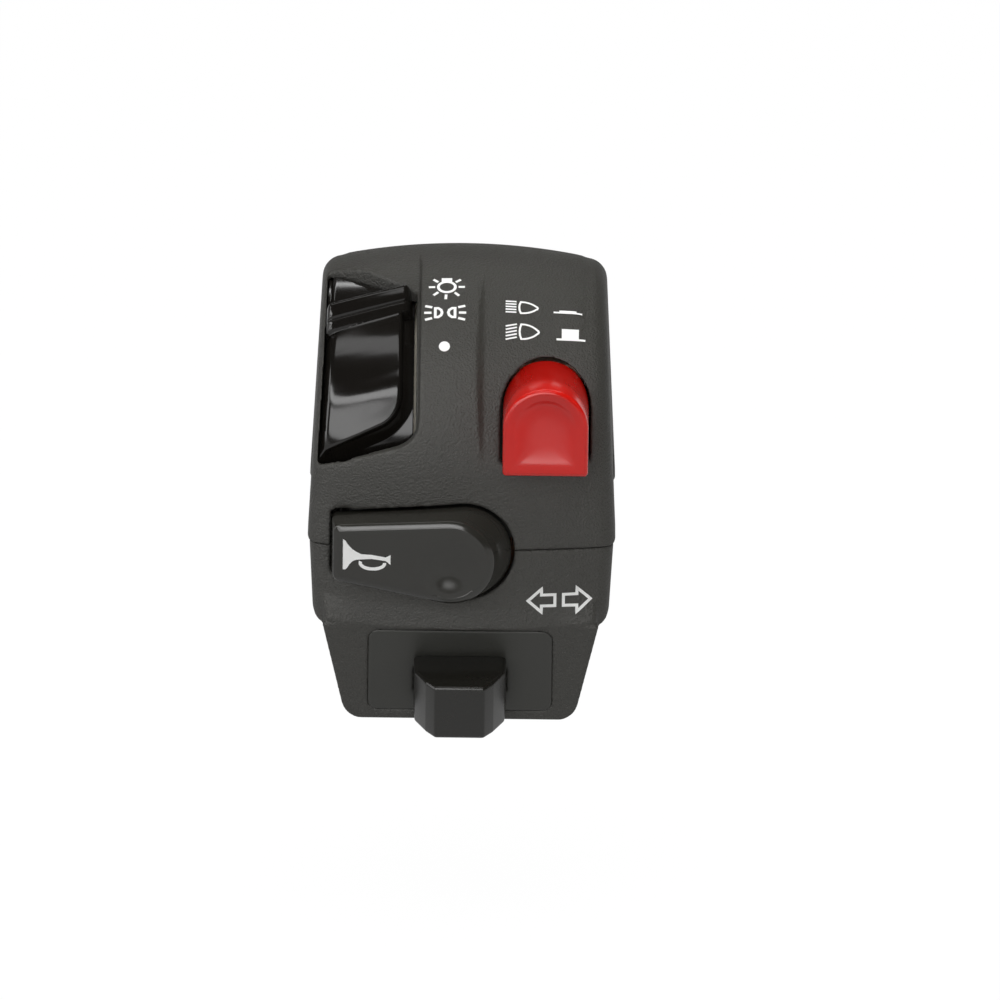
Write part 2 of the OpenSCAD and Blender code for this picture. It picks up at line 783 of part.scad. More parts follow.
module beam_button() {
    color(button_red) difference() {
        union() {
            translate([0, cap_back_y, 0]) rotate([90, 0, 0]) linear_extrude(cap_back_y - beam_face_y) beam_arch(0);
            translate([beam_x - stem / 2, cap_back_y - lap, stem_z - stem / 2])
                cube([stem, stem_back_y - cap_back_y + lap, stem]);
        }
        forward_from(beam_face_y + 0.6) beam_arch(-1.7);
        translate([beam_x, stem_back_y + lap, stem_z]) rotate([90, 0, 0])
            cylinder(r = spring_r + 0.8, h = stem_back_y - spring_seat_y + lap);
        translate([beam_x - 0.8, latch_end_y - beam_travel - 0.9, latch_z - 1.6])
            cube([1.6, beam_travel + 1.8, 4]);
    }
}

// A round wire wound along Z
module coil(r, wire, length, turns) {
    rings = 8;
    sides = 6;
    steps = turns * rings;
    points = [for (i = [0 : steps], j = [0 : sides - 1])
        let (a = 360 * i / rings, b = 360 * j / sides, reach = r + wire * cos(b))
        [reach * cos(a), reach * sin(a), length * i / steps + wire * sin(b)]];
    skin = [for (i = [0 : steps - 1], j = [0 : sides - 1])
        let (k = (j + 1) % sides) [i * sides + j, i * sides + k, (i + 1) * sides + k, (i + 1) * sides + j]];
    ends = [[for (j = [sides - 1 : -1 : 0]) j], [for (j = [0 : sides - 1]) steps * sides + j]];
    polyhedron(points, concat(skin, ends));
}

module beam_return_spring() {
    front = spring_seat_y + spring_wire_r + 0.05;
    back = guide_back_y - spring_wire_r - 0.05;
    echo(spring_gap = (back - front) / spring_turns - 2 * spring_wire_r);
    color(steel_tone) translate([beam_x, front, stem_z]) rotate([-90, 0, 0])
        coil(spring_r, spring_wire_r, back - front, spring_turns);
}

module beam_latch_wire() {
    color(steel_tone) {
        translate([beam_x, guide_back_y, latch_z]) rotate([90, 0, 0])
            cylinder(r = latch_r, h = guide_back_y - latch_end_y, $fn = small_fn);
        translate([beam_x, latch_end_y, latch_z - 1.3]) cylinder(r = latch_r, h = 1.3, $fn = small_fn);
        translate([beam_x, latch_end_y, latch_z]) sphere(r = latch_r, $fn = small_fn);
    }
}

module beam_contact_bridge() {
    color(brass_tone) translate([beam_x, stem_back_y + 0.6, stem_z]) rotate([90, 0, 0]) difference() {
        cylinder(r = stem / 2 - 0.2, h = 0.6);
        translate([0, 0, -lap]) cylinder(r = spring_r + 0.8, h = 2 * lap + 0.6);
    }
}

module beam_contact_plate() {
    color(phenolic_brown) difference() {
        translate([beam_x - guide_half, guide_back_y, stem_z - guide_half])
            cube([2 * guide_half, plate_thick, guide_half + stem / 2]);
        beam_contact_pegs(guide_back_y - lap, guide_back_y + plate_thick + lap, 0.8);
    }
}

module beam_contact_pegs(y0, y1, r) {
    for (s = [-1, 1]) translate([beam_x + s * 3.6, y1, stem_z]) rotate([90, 0, 0])
        cylinder(r = r, h = y1 - y0, $fn = small_fn);
}

module beam_fixed_contacts() {
    color(brass_tone) {
        beam_contact_pegs(guide_back_y - 0.3, guide_back_y + plate_thick + 0.5, 0.8);
    }
}

module horn_paddle() {
    color(gloss_black) difference() {
        union() {
            hull() {
                translate([0, 0.4 - front_y, 0]) rotate([90, 0, 0]) linear_extrude(0.5)
                    horn_outline(horn_end, horn_r - 0.05, horn_left + 0.05, horn_top_z - 0.05, horn_low_z + 0.05,
                        $fn = 64);
                translate([horn_left, -front_y - horn_out + 0.6, 0]) rotate([90, 0, -horn_face_tilt]) linear_extrude(0.1)
                    translate([-horn_left, 0]) horn_outline(horn_face_end, horn_face_r, horn_left + 0.2,
                        horn_top_z - 0.2, horn_low_z + 0.2, $fn = 64);
            }
            translate([0, horn_back_y, 0]) rotate([90, 0, 0]) linear_extrude(front_y + horn_back_y)
                horn_outline(horn_end, horn_r, horn_left, horn_top_z, horn_low_z);
            translate([hinge_x, hinge_y, lug_low_z]) cylinder(r = hinge_r + hinge_wall, h = lug_high_z - lug_low_z);
            translate([hinge_x - hinge_r - hinge_wall, horn_back_y - lap, lug_low_z])
                cube([2 * (hinge_r + hinge_wall), hinge_y - horn_back_y + lap, lug_high_z - lug_low_z]);
            translate([dimple[0], blade_y - 0.2 - gap, -2.6]) rotate([90, 0, 0])
                cylinder(r = prong_r, h = blade_y - 0.2 - gap - horn_back_y + lap, $fn = small_fn);
        }
        translate([hinge_x, hinge_y, lug_low_z - lap])
            cylinder(r = hinge_r + slide_fit / 2, h = lug_high_z - lug_low_z + 2 * lap);
        translate([dimple[0], dimple_face_y - dimple_ball_r + dimple_depth, dimple[1]]) sphere(r = dimple_ball_r);
    }
}

module horn_pivot_pin() {
    color(steel_tone) translate([hinge_x, hinge_y, lug_low_z - 0.3 - hinge_boss_h])
        cylinder(r = hinge_r, h = lug_high_z - lug_low_z + 2 * hinge_boss_h + 0.6);
}

module horn_contact_blade() {
    color(brass_tone) translate([blade_x, blade_y - 0.2, -4.1]) cube([14, strip_thick, 3]);
}

module horn_contact_base() {
    color(phenolic_brown) difference() {
        union() {
            translate([horn_posts[0][0] - 1.8, horn_base_y, -11])
                cube([horn_posts[1][0] - horn_posts[0][0] + 3.6, horn_base_thick, 10.2]);
            translate([blade_x, blade_y - 0.2 + strip_thick, -4.1])
                cube([2.5, horn_base_y - blade_y + 0.2 - strip_thick + lap, 3]);
        }
        horn_base_posts(small_screw_r + slide_fit, horn_base_y - lap, horn_base_y + horn_base_thick + lap);
        horn_contact_peg(0.8, horn_base_y - lap, horn_base_y + horn_base_thick + lap);
    }
}

module horn_contact_peg(r, y0, y1) {
    translate([blade_x + 12.8, y1, -2.6]) rotate([90, 0, 0]) cylinder(r = r, h = y1 - y0, $fn = small_fn);
}

module horn_fixed_contact() {
    color(brass_tone) {
        horn_contact_peg(0.8, horn_base_y, horn_base_y + horn_base_thick + 0.6);
        horn_contact_peg(1.1, horn_base_y - 0.6, horn_base_y);
    }
}

module horn_base_screws() {
    color(steel_tone) {
        horn_base_posts(small_screw_r, horn_base_y - 2.4, horn_base_y + horn_base_thick);
        horn_base_posts(1.5, horn_base_y + horn_base_thick, horn_base_y + horn_base_thick + 0.9);
    }
}

module panel_posts(r, z0, z1) {
    for (s = [-1, 1]) translate([s * panel_post_x, 0, z0]) cylinder(r = r, h = z1 - z0, $fn = small_fn);
}

module turn_panel() {
    color(house_grey) on_panel() difference() {
        union() {
            translate([0, 0, -panel_thick]) linear_extrude(panel_thick) turn_opening(0);
            translate([-panel_w / 2 - 1.2, panel_up - panel_l / 2, -panel_thick - flange_thick])
                cube([panel_w + 2.4, panel_l + 1, flange_thick]);
            panel_posts(panel_post_r, base_top, -panel_thick);
        }
        translate([-turn_travel - shank_w / 2 - gap, -shank_l / 2 - slide_fit, -panel_thick - flange_thick - lap])
            cube([2 * turn_travel + shank_w + 2 * gap, shank_l + 2 * slide_fit, panel_thick + flange_thick + 2 * lap]);
        panel_posts(small_screw_r, base_top - lap, -panel_thick - flange_thick + 0.5);
    }
}

module turn_slider() {
    w = knob_w / 2;
    color(gloss_black) on_panel() {
        translate([0, knob_l / 2, gap]) rotate([90, 0, 0]) linear_extrude(knob_l)
            polygon([[-w, 0], [w, 0], [w * 0.97, knob_out * 0.5], [w * 0.73, knob_out * 0.82], [w * 0.53, knob_out],
                [-w * 0.53, knob_out], [-w * 0.73, knob_out * 0.82], [-w * 0.97, knob_out * 0.5]]);
        translate([-shank_w / 2, -shank_l / 2, carriage_low + 0.5])
            cube([shank_w, shank_l, gap - carriage_low]);
    }
}

module turn_carriage() {
    color(carrier_black) on_panel() difference() {
        translate([-carriage_half, -4.8, carriage_low]) cube([2 * carriage_half, 9.6, carriage_thick]);
        translate([-shank_w / 2, -shank_l / 2, carriage_low - lap]) cube([shank_w, shank_l, carriage_thick + 2 * lap]);
    }
}

module turn_contact_bridge() {
    color(brass_tone) on_panel() translate([-4.5, -4.4, bridge_low]) cube([9, 1.8, strip_thick]);
}

module turn_detent_leaf() {
    color(steel_tone) on_panel() {
        translate([-4.5, 2.6, bridge_low]) cube([9, 1.8, strip_thick]);
        translate([0, 4.4, bridge_low]) rotate([90, 0, 0]) cylinder(r = 0.25, h = 1.8, $fn = small_fn);
    }
}

module turn_contact_base() {
    color(phenolic_brown) on_panel() difference() {
        translate([-panel_post_x - 2, -5.2, base_low]) cube([2 * panel_post_x + 4, 10.4, base_thick]);
        turn_contact_pegs(0.8, base_low - lap, base_top + lap);
        panel_posts(small_screw_r + slide_fit, base_low - lap, base_top + lap);
        for (i = [-1 : 1]) translate([i * turn_travel, 4.6, base_top]) rotate([90, 0, 0])
            cylinder(r = 0.6, h = 2.2, $fn = small_fn);
    }
}

module turn_contact_pegs(r, z0, z1) {
    for (i = [-1 : 1]) translate([i * (turn_travel + 2), -3.5, z0]) cylinder(r = r, h = z1 - z0, $fn = small_fn);
}

module turn_fixed_contacts() {
    color(brass_tone) on_panel() turn_contact_pegs(0.8, base_low - 0.6, base_top);
}

module turn_base_screws() {
    color(steel_tone) on_panel() {
        panel_posts(small_screw_r, base_low, -panel_thick - flange_thick);
        panel_posts(1.5, base_low - 0.9, base_low);
    }
}

upper_housing();
lower_housing();
clamp_screws();
cable_grommet();
switch_carrier();
carrier_screws();
light_lever();
light_keeper();
light_contact_bridge();
light_detent_leaf();
light_fixed_contacts();
beam_button();
beam_return_spring();
beam_latch_wire();
beam_contact_bridge();
beam_contact_plate();
beam_fixed_contacts();
horn_paddle();
horn_pivot_pin();
horn_contact_blade();
horn_contact_base();
horn_fixed_contact();
horn_base_screws();
turn_panel();
turn_slider();
turn_carriage();
turn_contact_bridge();
turn_detent_leaf();
turn_contact_base();
turn_fixed_contacts();
turn_base_screws();
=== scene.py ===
import math

import bmesh
import bpy
from mathutils import Matrix, Vector
from mathutils.bvhtree import BVHTree


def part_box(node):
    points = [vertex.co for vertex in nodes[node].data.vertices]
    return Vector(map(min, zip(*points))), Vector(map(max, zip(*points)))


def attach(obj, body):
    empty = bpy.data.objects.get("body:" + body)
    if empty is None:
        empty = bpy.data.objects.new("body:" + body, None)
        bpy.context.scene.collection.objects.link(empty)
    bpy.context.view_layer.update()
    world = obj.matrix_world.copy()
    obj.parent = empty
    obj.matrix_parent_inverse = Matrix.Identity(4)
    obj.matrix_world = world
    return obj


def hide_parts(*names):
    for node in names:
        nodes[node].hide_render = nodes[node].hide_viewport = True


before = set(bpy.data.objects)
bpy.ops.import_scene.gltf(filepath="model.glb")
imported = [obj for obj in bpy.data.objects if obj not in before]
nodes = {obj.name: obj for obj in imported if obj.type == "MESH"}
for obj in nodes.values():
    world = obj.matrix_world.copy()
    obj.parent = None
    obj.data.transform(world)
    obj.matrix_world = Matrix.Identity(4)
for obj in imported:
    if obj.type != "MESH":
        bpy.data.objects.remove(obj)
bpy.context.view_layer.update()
scene = bpy.context.scene
scene.view_settings.view_transform = "Standard"
MM = 0.001


# Camera, where the photographer stood: square to the face of the switch and looking down on it
# by nineteen degrees, with a long lens. The picture is a little turned, clockwise.
view_down = math.radians(19)
view_roll = math.radians(0.7)
view_distance = 3000 * MM
view_width = 152.2 * MM
view_centre = Vector((5.8 * MM, -22.5 * MM, 8.2 * MM))
camera_data = bpy.data.cameras.new("camera")
camera_data.sensor_width = 36
camera_data.lens = 36 * view_distance / view_width
camera_data.clip_start = 0.01
camera_data.clip_end = 10
camera = bpy.data.objects.new("camera", camera_data)
scene.collection.objects.link(camera)
backwards = Vector((0, -math.cos(view_down), math.sin(view_down)))
camera.location = view_centre + backwards * view_distance
camera.rotation_mode = "QUATERNION"
camera.rotation_quaternion = (-backwards).to_track_quat("-Z", "Y") @ Matrix.Rotation(
    view_roll, 3, "Z").to_quaternion()
scene.camera = camera


# Studio: a white table under a white backdrop, large soft lamps that light the switch, and white
# cards that show only in its gloss. Upright gloss faces mirror the table, and upper ones the cards.
def linear(colour):
    """An sRGB hex colour as the linear RGBA that shaders take."""
    parts = [int(colour[i:i + 2], 16) / 255 for i in (1, 3, 5)]
    return [c / 12.92 if c <= 0.04045 else ((c + 0.055) / 1.055) ** 2.4 for c in parts] + [1]


def add(tree, kind, inputs=(), **settings):
    """Adds a node with its settings, its input values and its links."""
    made = tree.nodes.new(kind)
    for key, value in settings.items():
        setattr(made, key, value)
    for key, value in dict(inputs).items():
        if isinstance(value, bpy.types.NodeSocket):
            tree.links.new(value, made.inputs[key])
        else:
            made.inputs[key].default_value = value
    return made


def new_material(name):
    """An empty material and its node tree."""
    material = bpy.data.materials.new(name)
    material.use_nodes = True
    material.node_tree.nodes.clear()
    return material, material.node_tree


def soft_box(name, place, size, watts):
    """A rectangular lamp or card, sizes in millimetres, that faces the switch and isn't seen itself."""
    light = bpy.data.lights.new(name, "AREA")
    light.shape = "RECTANGLE"
    light.size, light.size_y = size[0] * MM, size[1] * MM
    light.energy = watts
    lamp = bpy.data.objects.new(name, light)
    lamp.location = Vector(place) * MM
    lamp.rotation_euler = (-lamp.location).to_track_quat("-Z", "Y").to_euler()
    lamp.visible_camera = False
    scene.collection.objects.link(lamp)
    return lamp


world = bpy.data.worlds.new("studio")
world.use_nodes = True
scene.world = world
sky = world.node_tree
sky.nodes.clear()
# Light from all round, and what a camera or a mirror sees: white below, darkening above the horizon
sky_fill, sky_low, sky_high, horizon_fade = 0.16, 1.0, 0.04, 0.08
path = add(sky, "ShaderNodeLightPath")
seen = add(sky, "ShaderNodeMath", {0: path.outputs["Is Camera Ray"], 1: path.outputs["Is Glossy Ray"]},
           operation="MAXIMUM")
seen = add(sky, "ShaderNodeMath", {0: seen.outputs[0], 1: path.outputs["Is Transmission Ray"]},
           operation="MAXIMUM")
way = add(sky, "ShaderNodeSeparateXYZ", {0: add(sky, "ShaderNodeTexCoord").outputs["Generated"]})
height = add(sky, "ShaderNodeMapRange", {"Value": way.outputs["Z"], "From Min": 0.0,
                                         "From Max": horizon_fade, "To Min": sky_low, "To Max": sky_high})
level = add(sky, "ShaderNodeMix", {"Factor": seen.outputs[0], "A": sky_fill, "B": height.outputs[0]})
sky_light = add(sky, "ShaderNodeBackground", {"Color": linear("#ffffff"), "Strength": level.outputs[0]})
add(sky, "ShaderNodeOutputWorld", {"Surface": sky_light.outputs[0]})

floor_level, table_half = -58 * MM, 3
# How bright the table looks, how much of that replaces its own shade, and how much of it gloss mirrors
table_glow, glow_share, mirrored_share = 1.06, 0.93, 0.6
table, tree = new_material("white_table")
path = add(tree, "ShaderNodeLightPath")
paper = add(tree, "ShaderNodeBsdfDiffuse", {"Color": linear("#9a9a9a")})
glow = add(tree, "ShaderNodeEmission", {"Color": linear("#ffffff"), "Strength": table_glow})
gloss = add(tree, "ShaderNodeMath", {0: path.outputs["Is Glossy Ray"], 1: mirrored_share},
            operation="MULTIPLY")
seen = add(tree, "ShaderNodeMath", {0: path.outputs["Is Camera Ray"], 1: gloss.outputs[0]},
           operation="MAXIMUM")
seen = add(tree, "ShaderNodeMath", {0: seen.outputs[0], 1: path.outputs["Is Transmission Ray"]},
           operation="MAXIMUM")
share = add(tree, "ShaderNodeMath", {0: seen.outputs[0], 1: glow_share}, operation="MULTIPLY")
mixed = add(tree, "ShaderNodeMixShader", {0: share.outputs[0], 1: paper.outputs[0], 2: glow.outputs[0]})
add(tree, "ShaderNodeOutputMaterial", {"Surface": mixed.outputs[0]})
table_mesh = bpy.data.meshes.new("table")
corners = [(x * table_half, y * table_half, floor_level) for x, y in ((-1, -1), (1, -1), (1, 1), (-1, 1))]
table_mesh.from_pydata(corners, [], [(0, 1, 2, 3)])
table_mesh.materials.append(table)
table_top = bpy.data.objects.new("table", table_mesh)
scene.collection.objects.link(table_top)
# Lamps that light the switch and white cards that show only in its gloss, placed in millimetres
for name, place, size, watts in (("lamp_above", (-20, 20, 640), (700, 500), 3.8),
                                 ("lamp_front", (-40, -560, 160), (500, 300), 1.2),
                                 ("lamp_left", (-500, -160, 200), (200, 400), 0.35),
                                 ("lamp_right", (500, -220, 200), (200, 400), 0.7)):
    soft_box(name, place, size, watts).visible_glossy = False
for name, place, size, watts in (("card_front", (-200, -510, 185), (620, 180), 1.4),
                                 ("card_high", (-200, -410, 330), (700, 100), 1.3),
                                 ("card_above", (-40, -200, 560), (460, 110), 0.34),
                                 ("card_left", (-480, -120, 160), (120, 320), 0.4),
                                 ("card_back", (-40, 380, 420), (600, 50), 0.5)):
    soft_box(name, place, size, watts).visible_diffuse = False


# Upper housing: the half that carries the light, beam and horn switches, moulded in glass-filled
# nylon with a fine spark-eroded grain. Its edges keep the small rounds that the mould gives them.
def surface_finish(name, colours, rough, grain, depth, mottle=6.0, detail=3.0, kind="IOR", value=1.5):
    """A material of two near colours and roughnesses in soft clouds, with a grain of a size and depth in
    mm. It is a plastic, unless kind and value name another input of the shader and its value."""
    material, tree = new_material(name)
    place = add(tree, "ShaderNodeTexCoord").outputs["Object"]
    cloud = add(tree, "ShaderNodeTexNoise", {"Vector": place, "Scale": 1 / (mottle * MM), "Detail": detail})
    tone = add(tree, "ShaderNodeMix", {"Factor": cloud.outputs["Fac"], "A": linear(colours[0]),
                                       "B": linear(colours[1])}, data_type="RGBA")
    sheen = add(tree, "ShaderNodeMapRange", {"Value": cloud.outputs["Fac"], "From Min": 0.3,
                                             "From Max": 0.7, "To Min": rough[0], "To Max": rough[1]})
    grit = add(tree, "ShaderNodeTexNoise", {"Vector": place, "Scale": 1 / (grain * MM),
                                            "Detail": detail - 1})
    relief = add(tree, "ShaderNodeBump", {"Height": grit.outputs["Fac"], "Distance": depth * MM})
    shader = add(tree, "ShaderNodeBsdfPrincipled", {
        "Base Color": tone.outputs[2], "Roughness": sheen.outputs[0], kind: value,
        "Normal": relief.outputs[0]})
    add(tree, "ShaderNodeOutputMaterial", {"Surface": shader.outputs[0]})
    return material


def moulded_copy(node, name, voxel, passes, forms=()):
    """A copy of a CAD solid, with further forms grown on, its edges rounded as a mould leaves them."""
    mesh = nodes[node].data.copy()
    work = bmesh.new()
    work.from_mesh(mesh)
    for points, faces in forms:
        added = [work.verts.new(Vector(p) * MM) for p in points]
        for face in faces:
            work.faces.new([added[i] for i in face])
    work.to_mesh(mesh)
    work.free()
    copy = bpy.data.objects.new(name, mesh)
    scene.collection.objects.link(copy)
    voxels = copy.modifiers.new("voxels", "REMESH")
    voxels.mode = "VOXEL"
    voxels.voxel_size = voxel * MM
    rounds = copy.modifiers.new("rounds", "SMOOTH")
    rounds.factor = 0.5
    rounds.iterations = passes
    made = bpy.data.meshes.new_from_object(copy.evaluated_get(bpy.context.evaluated_depsgraph_get()))
    copy.modifiers.clear()
    copy.data = made
    made.materials.clear()
    made.shade_smooth()
    return copy


# Axis of the rounded upper front. Faces further from it than a radius, or in front of a place below it,
# are outer ones.
dome_y, dome_z = 5.0, 11.3
skin_r, skin_y = 25.0, -18
# How far the edge line is eased to each side, how far back it goes, and which faces count as side faces
ease_reach, ease_back, ease_passes, side_facing = 1.3, 14, 30, 0.5


def ease(shell, start_x, lowest, highest):
    """Eases the line where the upright middle of a housing meets its leaning sides."""
    work = bmesh.new()
    work.from_mesh(shell.data)
    work.normal_update()
    soft = []
    for v in work.verts:
        x, y, z = v.co / MM
        outside = math.hypot(y - dome_y, z - dome_z) > skin_r if z > dome_z else y < skin_y
        near = abs(abs(x) - start_x) < ease_reach and lowest < z < highest and y < ease_back
        if near and outside and abs(v.normal.x) < side_facing:
            soft.append(v)
    for _ in range(ease_passes):
        bmesh.ops.smooth_vert(work, verts=soft, factor=0.5, use_axis_x=False, use_axis_y=True,
                              use_axis_z=True)
    work.to_mesh(shell.data)
    work.free()
    shell.data.shade_smooth()


def own(piece, material, body, slot, *stands_for):
    """Gives a piece its material and its body, and hides the nodes that it stands for. The slot is not
    used.
    """
    piece.data.materials.append(material)
    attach(piece, body)
    if stands_for:
        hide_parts(*stands_for)


def loft(rings):
    """Points and faces of a closed form through rings of equal length, with both ends filled."""
    count = len(rings[0])
    points = [p for ring in rings for p in ring]
    faces = []
    for j in range(len(rings) - 1):
        for i in range(count):
            k = (i + 1) % count
            faces.append((j * count + i, j * count + k, (j + 1) * count + k, (j + 1) * count + i))
    faces.append(list(range(count)))
    faces.append([(len(rings) - 1) * count + i for i in range(count)])
    return points, faces


def on_dome(x, r, angle):
    """The place at a radius and an angle above the front, round the axis of the rounded upper front."""
    return x, dome_y - r * math.cos(angle), dome_z + r * math.sin(angle)


def round_wall(left, right, inner_r, outer_r, low, high):
    """A wall that runs round the dome's axis between two places, two radii and two angles in degrees."""
    rings = []
    for i in range(wall_steps + 1):
        angle = math.radians(low + (high - low) * i / wall_steps)
        section = ((left, inner_r), (right, inner_r), (right, outer_r), (left, outer_r))
        rings.append([on_dome(x, r, angle) for x, r in section])
    return loft(rings)


# Grain of a third of a millimetre, a little coarser than the real one so that it shows
# Its tone varies in clouds of half a millimetre: partly the nylon's own tone, partly painted shade that
# stands for the small shadows in the grain
grained_nylon = surface_finish("grained_nylon_black", ("#302f2b", "#3c3b37"), rough=(0.52, 0.62),
                               grain=0.34, depth=0.2, mottle=0.5)
lean_start = 18.1
# Walls that close off the inside beside the light lever and below its track, each with its left and
# right ends, its inner and outer radii, and its lowest and highest angles
wall_steps, wall_left, wall_right, wall_root_r = 24, -6.7, -5.4, 26.2
window_walls = [round_wall(wall_left, wall_right, 21.75, wall_root_r, 28, 66),
                round_wall(wall_left, wall_right, 17, wall_root_r, -6, 30),
                round_wall(-22.5, wall_right - 0.1, 19.1, 20.5, -20, 1)]
upper_shell = moulded_copy("upper_housing", "upper_housing_shell", voxel=0.24, passes=7, forms=window_walls)
ease(upper_shell, lean_start, 1.0, 60)
own(upper_shell, grained_nylon, "housing", "housing", "upper_housing")


# Lower housing: the half that closes round the bar from below, with the skirt and the turn box,
# moulded in the same grained nylon and drawn up by the two clamp screws behind the bar.
plain = nodes["lower_housing"].data
lower_faces = BVHTree.FromPolygons([v.co for v in plain.vertices], [p.vertices for p in plain.polygons])
# The lip along the skirt's lower edge stands proud of skirt and box, level in the middle, rising to
# its rounded ends. Its nose is given as places behind its front and above its foot.
far_front, skirt_z, box_z = -60, -9, -13.6
lip_z, lip_rise, lip_out, lip_half, lip_level = -13.05, 1.15, 0.4, 21.2, 8
lip_steps, lip_high, lip_thick, end_from, end_r = 40, 4, 2.2, 19.7, 1.5
lip_nose = ((0.02, 0.35), (0.12, 0.1), (0.35, 0), (lip_thick, 0))
lip_rings = []
for i in range(2 * lip_steps + 1):
    x = lip_half * (i / lip_steps - 1)
    starts = [Vector((x, far_front, z)) * MM for z in (skirt_z, box_z)]
    fronts = [lower_faces.ray_cast(start, Vector((0, 1, 0)))[0] for start in starts]
    skirt, box = [hit.y / MM if hit else 0 for hit in fronts]
    end = math.sqrt(1 - (max(abs(x) - end_from, 0) / end_r) ** 2)
    y = (min(skirt, box) - lip_out) * end + (skirt + 0.3) * (1 - end)
    z = lip_z + lip_rise * (max(abs(x) - lip_level, 0) / (lip_half - lip_level)) ** 2
    lip_rings.append([(x, skirt + 0.05, z + lip_high)] + [(x, y + back, z + up) for back, up in lip_nose]
                     + [(x, skirt + lip_thick, z + lip_high)])
lower_shell = moulded_copy("lower_housing", "lower_housing_shell", voxel=0.3, passes=4,
                           forms=[loft(lip_rings)])
ease(lower_shell, lean_start, -11.5, -1.2)
# The lower corners of the turn box are full rounds
foot_half, foot_z, foot_r, foot_lean = 18.0, -29.3, 2.7, math.tan(math.radians(12.5))
for v in lower_shell.data.vertices:
    x, z = abs(v.co.x) / MM, v.co.z / MM
    out = Vector((x - (z - foot_z - foot_r) * foot_lean - foot_half + foot_r, z - foot_z - foot_r))
    if out.x > 0 and out.y < 0 and out.length > foot_r:
        drawn = out * (foot_r / out.length)
        v.co.x = math.copysign((x - out.x + drawn.x) * MM, v.co.x)
        v.co.z = (z - out.y + drawn.y) * MM
own(lower_shell, grained_nylon, "housing", "housing", "lower_housing")


# Light lever: a thumb lever that slides round the dome, injection moulded in gloss black acetal.
# Its pad has a rounded rim and a slanting thumb ridge with a groove in its flank, above a plain tail.
half_width, side_lean = 23.5, math.tan(math.radians(3))
dome_r, dome_bow, dome_edge_r = 27.5, 97, 3.2
lever_gloss = surface_finish("gloss_acetal_black", ("#141210", "#171512"), rough=(0.10, 0.16),
                             grain=1.6, depth=0.003)


def quarter_round(inside, r):
    """Height of a rounded rim, nought to one, at a distance inside its edge."""
    if inside <= 0:
        return 0
    return 1 if inside >= r else math.sqrt(1 - (1 - inside / r) ** 2)


def add_mesh(name, points, faces):
    """A closed mesh object from points in millimetres."""
    mesh = bpy.data.meshes.new(name)
    mesh.from_pydata([Vector(p) * MM for p in points], [], faces)
    work = bmesh.new()
    work.from_mesh(mesh)
    bmesh.ops.recalc_face_normals(work, faces=work.faces)
    work.to_mesh(mesh)
    work.free()
    mesh.shade_smooth()
    made = bpy.data.objects.new(name, mesh)
    scene.collection.objects.link(made)
    return made


tail_r, tail_thick, pad_rise = 23.45, 1.8, 1.5
lever_side, lever_right, tail_right = 0.9, -9.2, -7.55
pad_slope, pad_low_z, pad_corner = math.radians(24.5), 13.2, 3.2
ridge_at, ridge_slant, ridge_middle = math.radians(64.5), math.radians(19), -14.3
ridge_left, ridge_right, ridge_end_r, rim_r = -21.3, -8.0, 1.2, 0.8
# Behind the ridge a lower pad ends along a slanting line, given by a point of it and its slope
rear_x, rear_y, rear_slope, rear_square, rear_rim_r = -7.2, -4.57, 0.5294, 0.884, 0.6
# Below the ridge's foot the pad is twisted a little, about a line across its middle
ridge_foot, scoop_start, twist_run, twist_middle, pad_twist = -3.1, -3.8, 3, -10, 0.006
# Outside its rim the lever falls away to a flange, and a soft blend keeps it inside the housing's edge
flange_fall, flange_low, blend_reach = 0.45, -0.9, 0.7
# Heights above the tail at distances across the ridge: rear flank, crest, groove, scoop and lower facet
lever_profile = [(0.95, 0.6), (0.55, 3.0), (0.2, 3.55), (-0.35, 3.36), (-1.45, 2.64), (-1.7, 2.2),
                 (-1.95, 2.32), (ridge_foot, 1.6), (scoop_start, 1.42), (-6.0, 1.26), (-8.7, 1.12),
                 (-12.0, 1.1), (-14.2, 1.3), (-17.5, 1.12), (-20.5, 1.2), (-24.0, 1.25)]


def side_limit(x, z):
    """Radius at which the lever stays inside the housing's rounded left-hand edge."""
    outer, bow, edge_r = dome_r - lever_side, dome_bow - lever_side, dome_edge_r - lever_side
    half = half_width - dome_z * side_lean - lever_side
    across = -(x - (z - dome_z) * side_lean)
    edge = outer - bow + math.sqrt((bow - edge_r) ** 2 - (half - edge_r) ** 2)
    if across <= (half - edge_r) * bow / (bow - edge_r):
        return outer - bow + math.sqrt(bow ** 2 - across ** 2)
    return edge + math.sqrt(max(edge_r ** 2 - (across - half + edge_r) ** 2, 0))


def along_profile(profile, s):
    """Height on a smooth curve through a profile's points, which run from high to low places."""
    for i in range(len(profile) - 1):
        (s0, h0), (s1, h1) = profile[i], profile[i + 1]
        if s0 >= s >= s1:
            before, after = profile[max(i - 1, 0)], profile[min(i + 2, len(profile) - 1)]
            slope0 = (h1 - before[1]) / (s1 - before[0]) * (s1 - s0)
            slope1 = (after[1] - h0) / (after[0] - s0) * (s1 - s0)
            t = (s - s0) / (s1 - s0)
            return (h0 * (1 + 2 * t) * (1 - t) ** 2 + slope0 * t * (1 - t) ** 2
                    + h1 * t * t * (3 - 2 * t) + slope1 * t * t * (t - 1))
    return profile[-1][1]


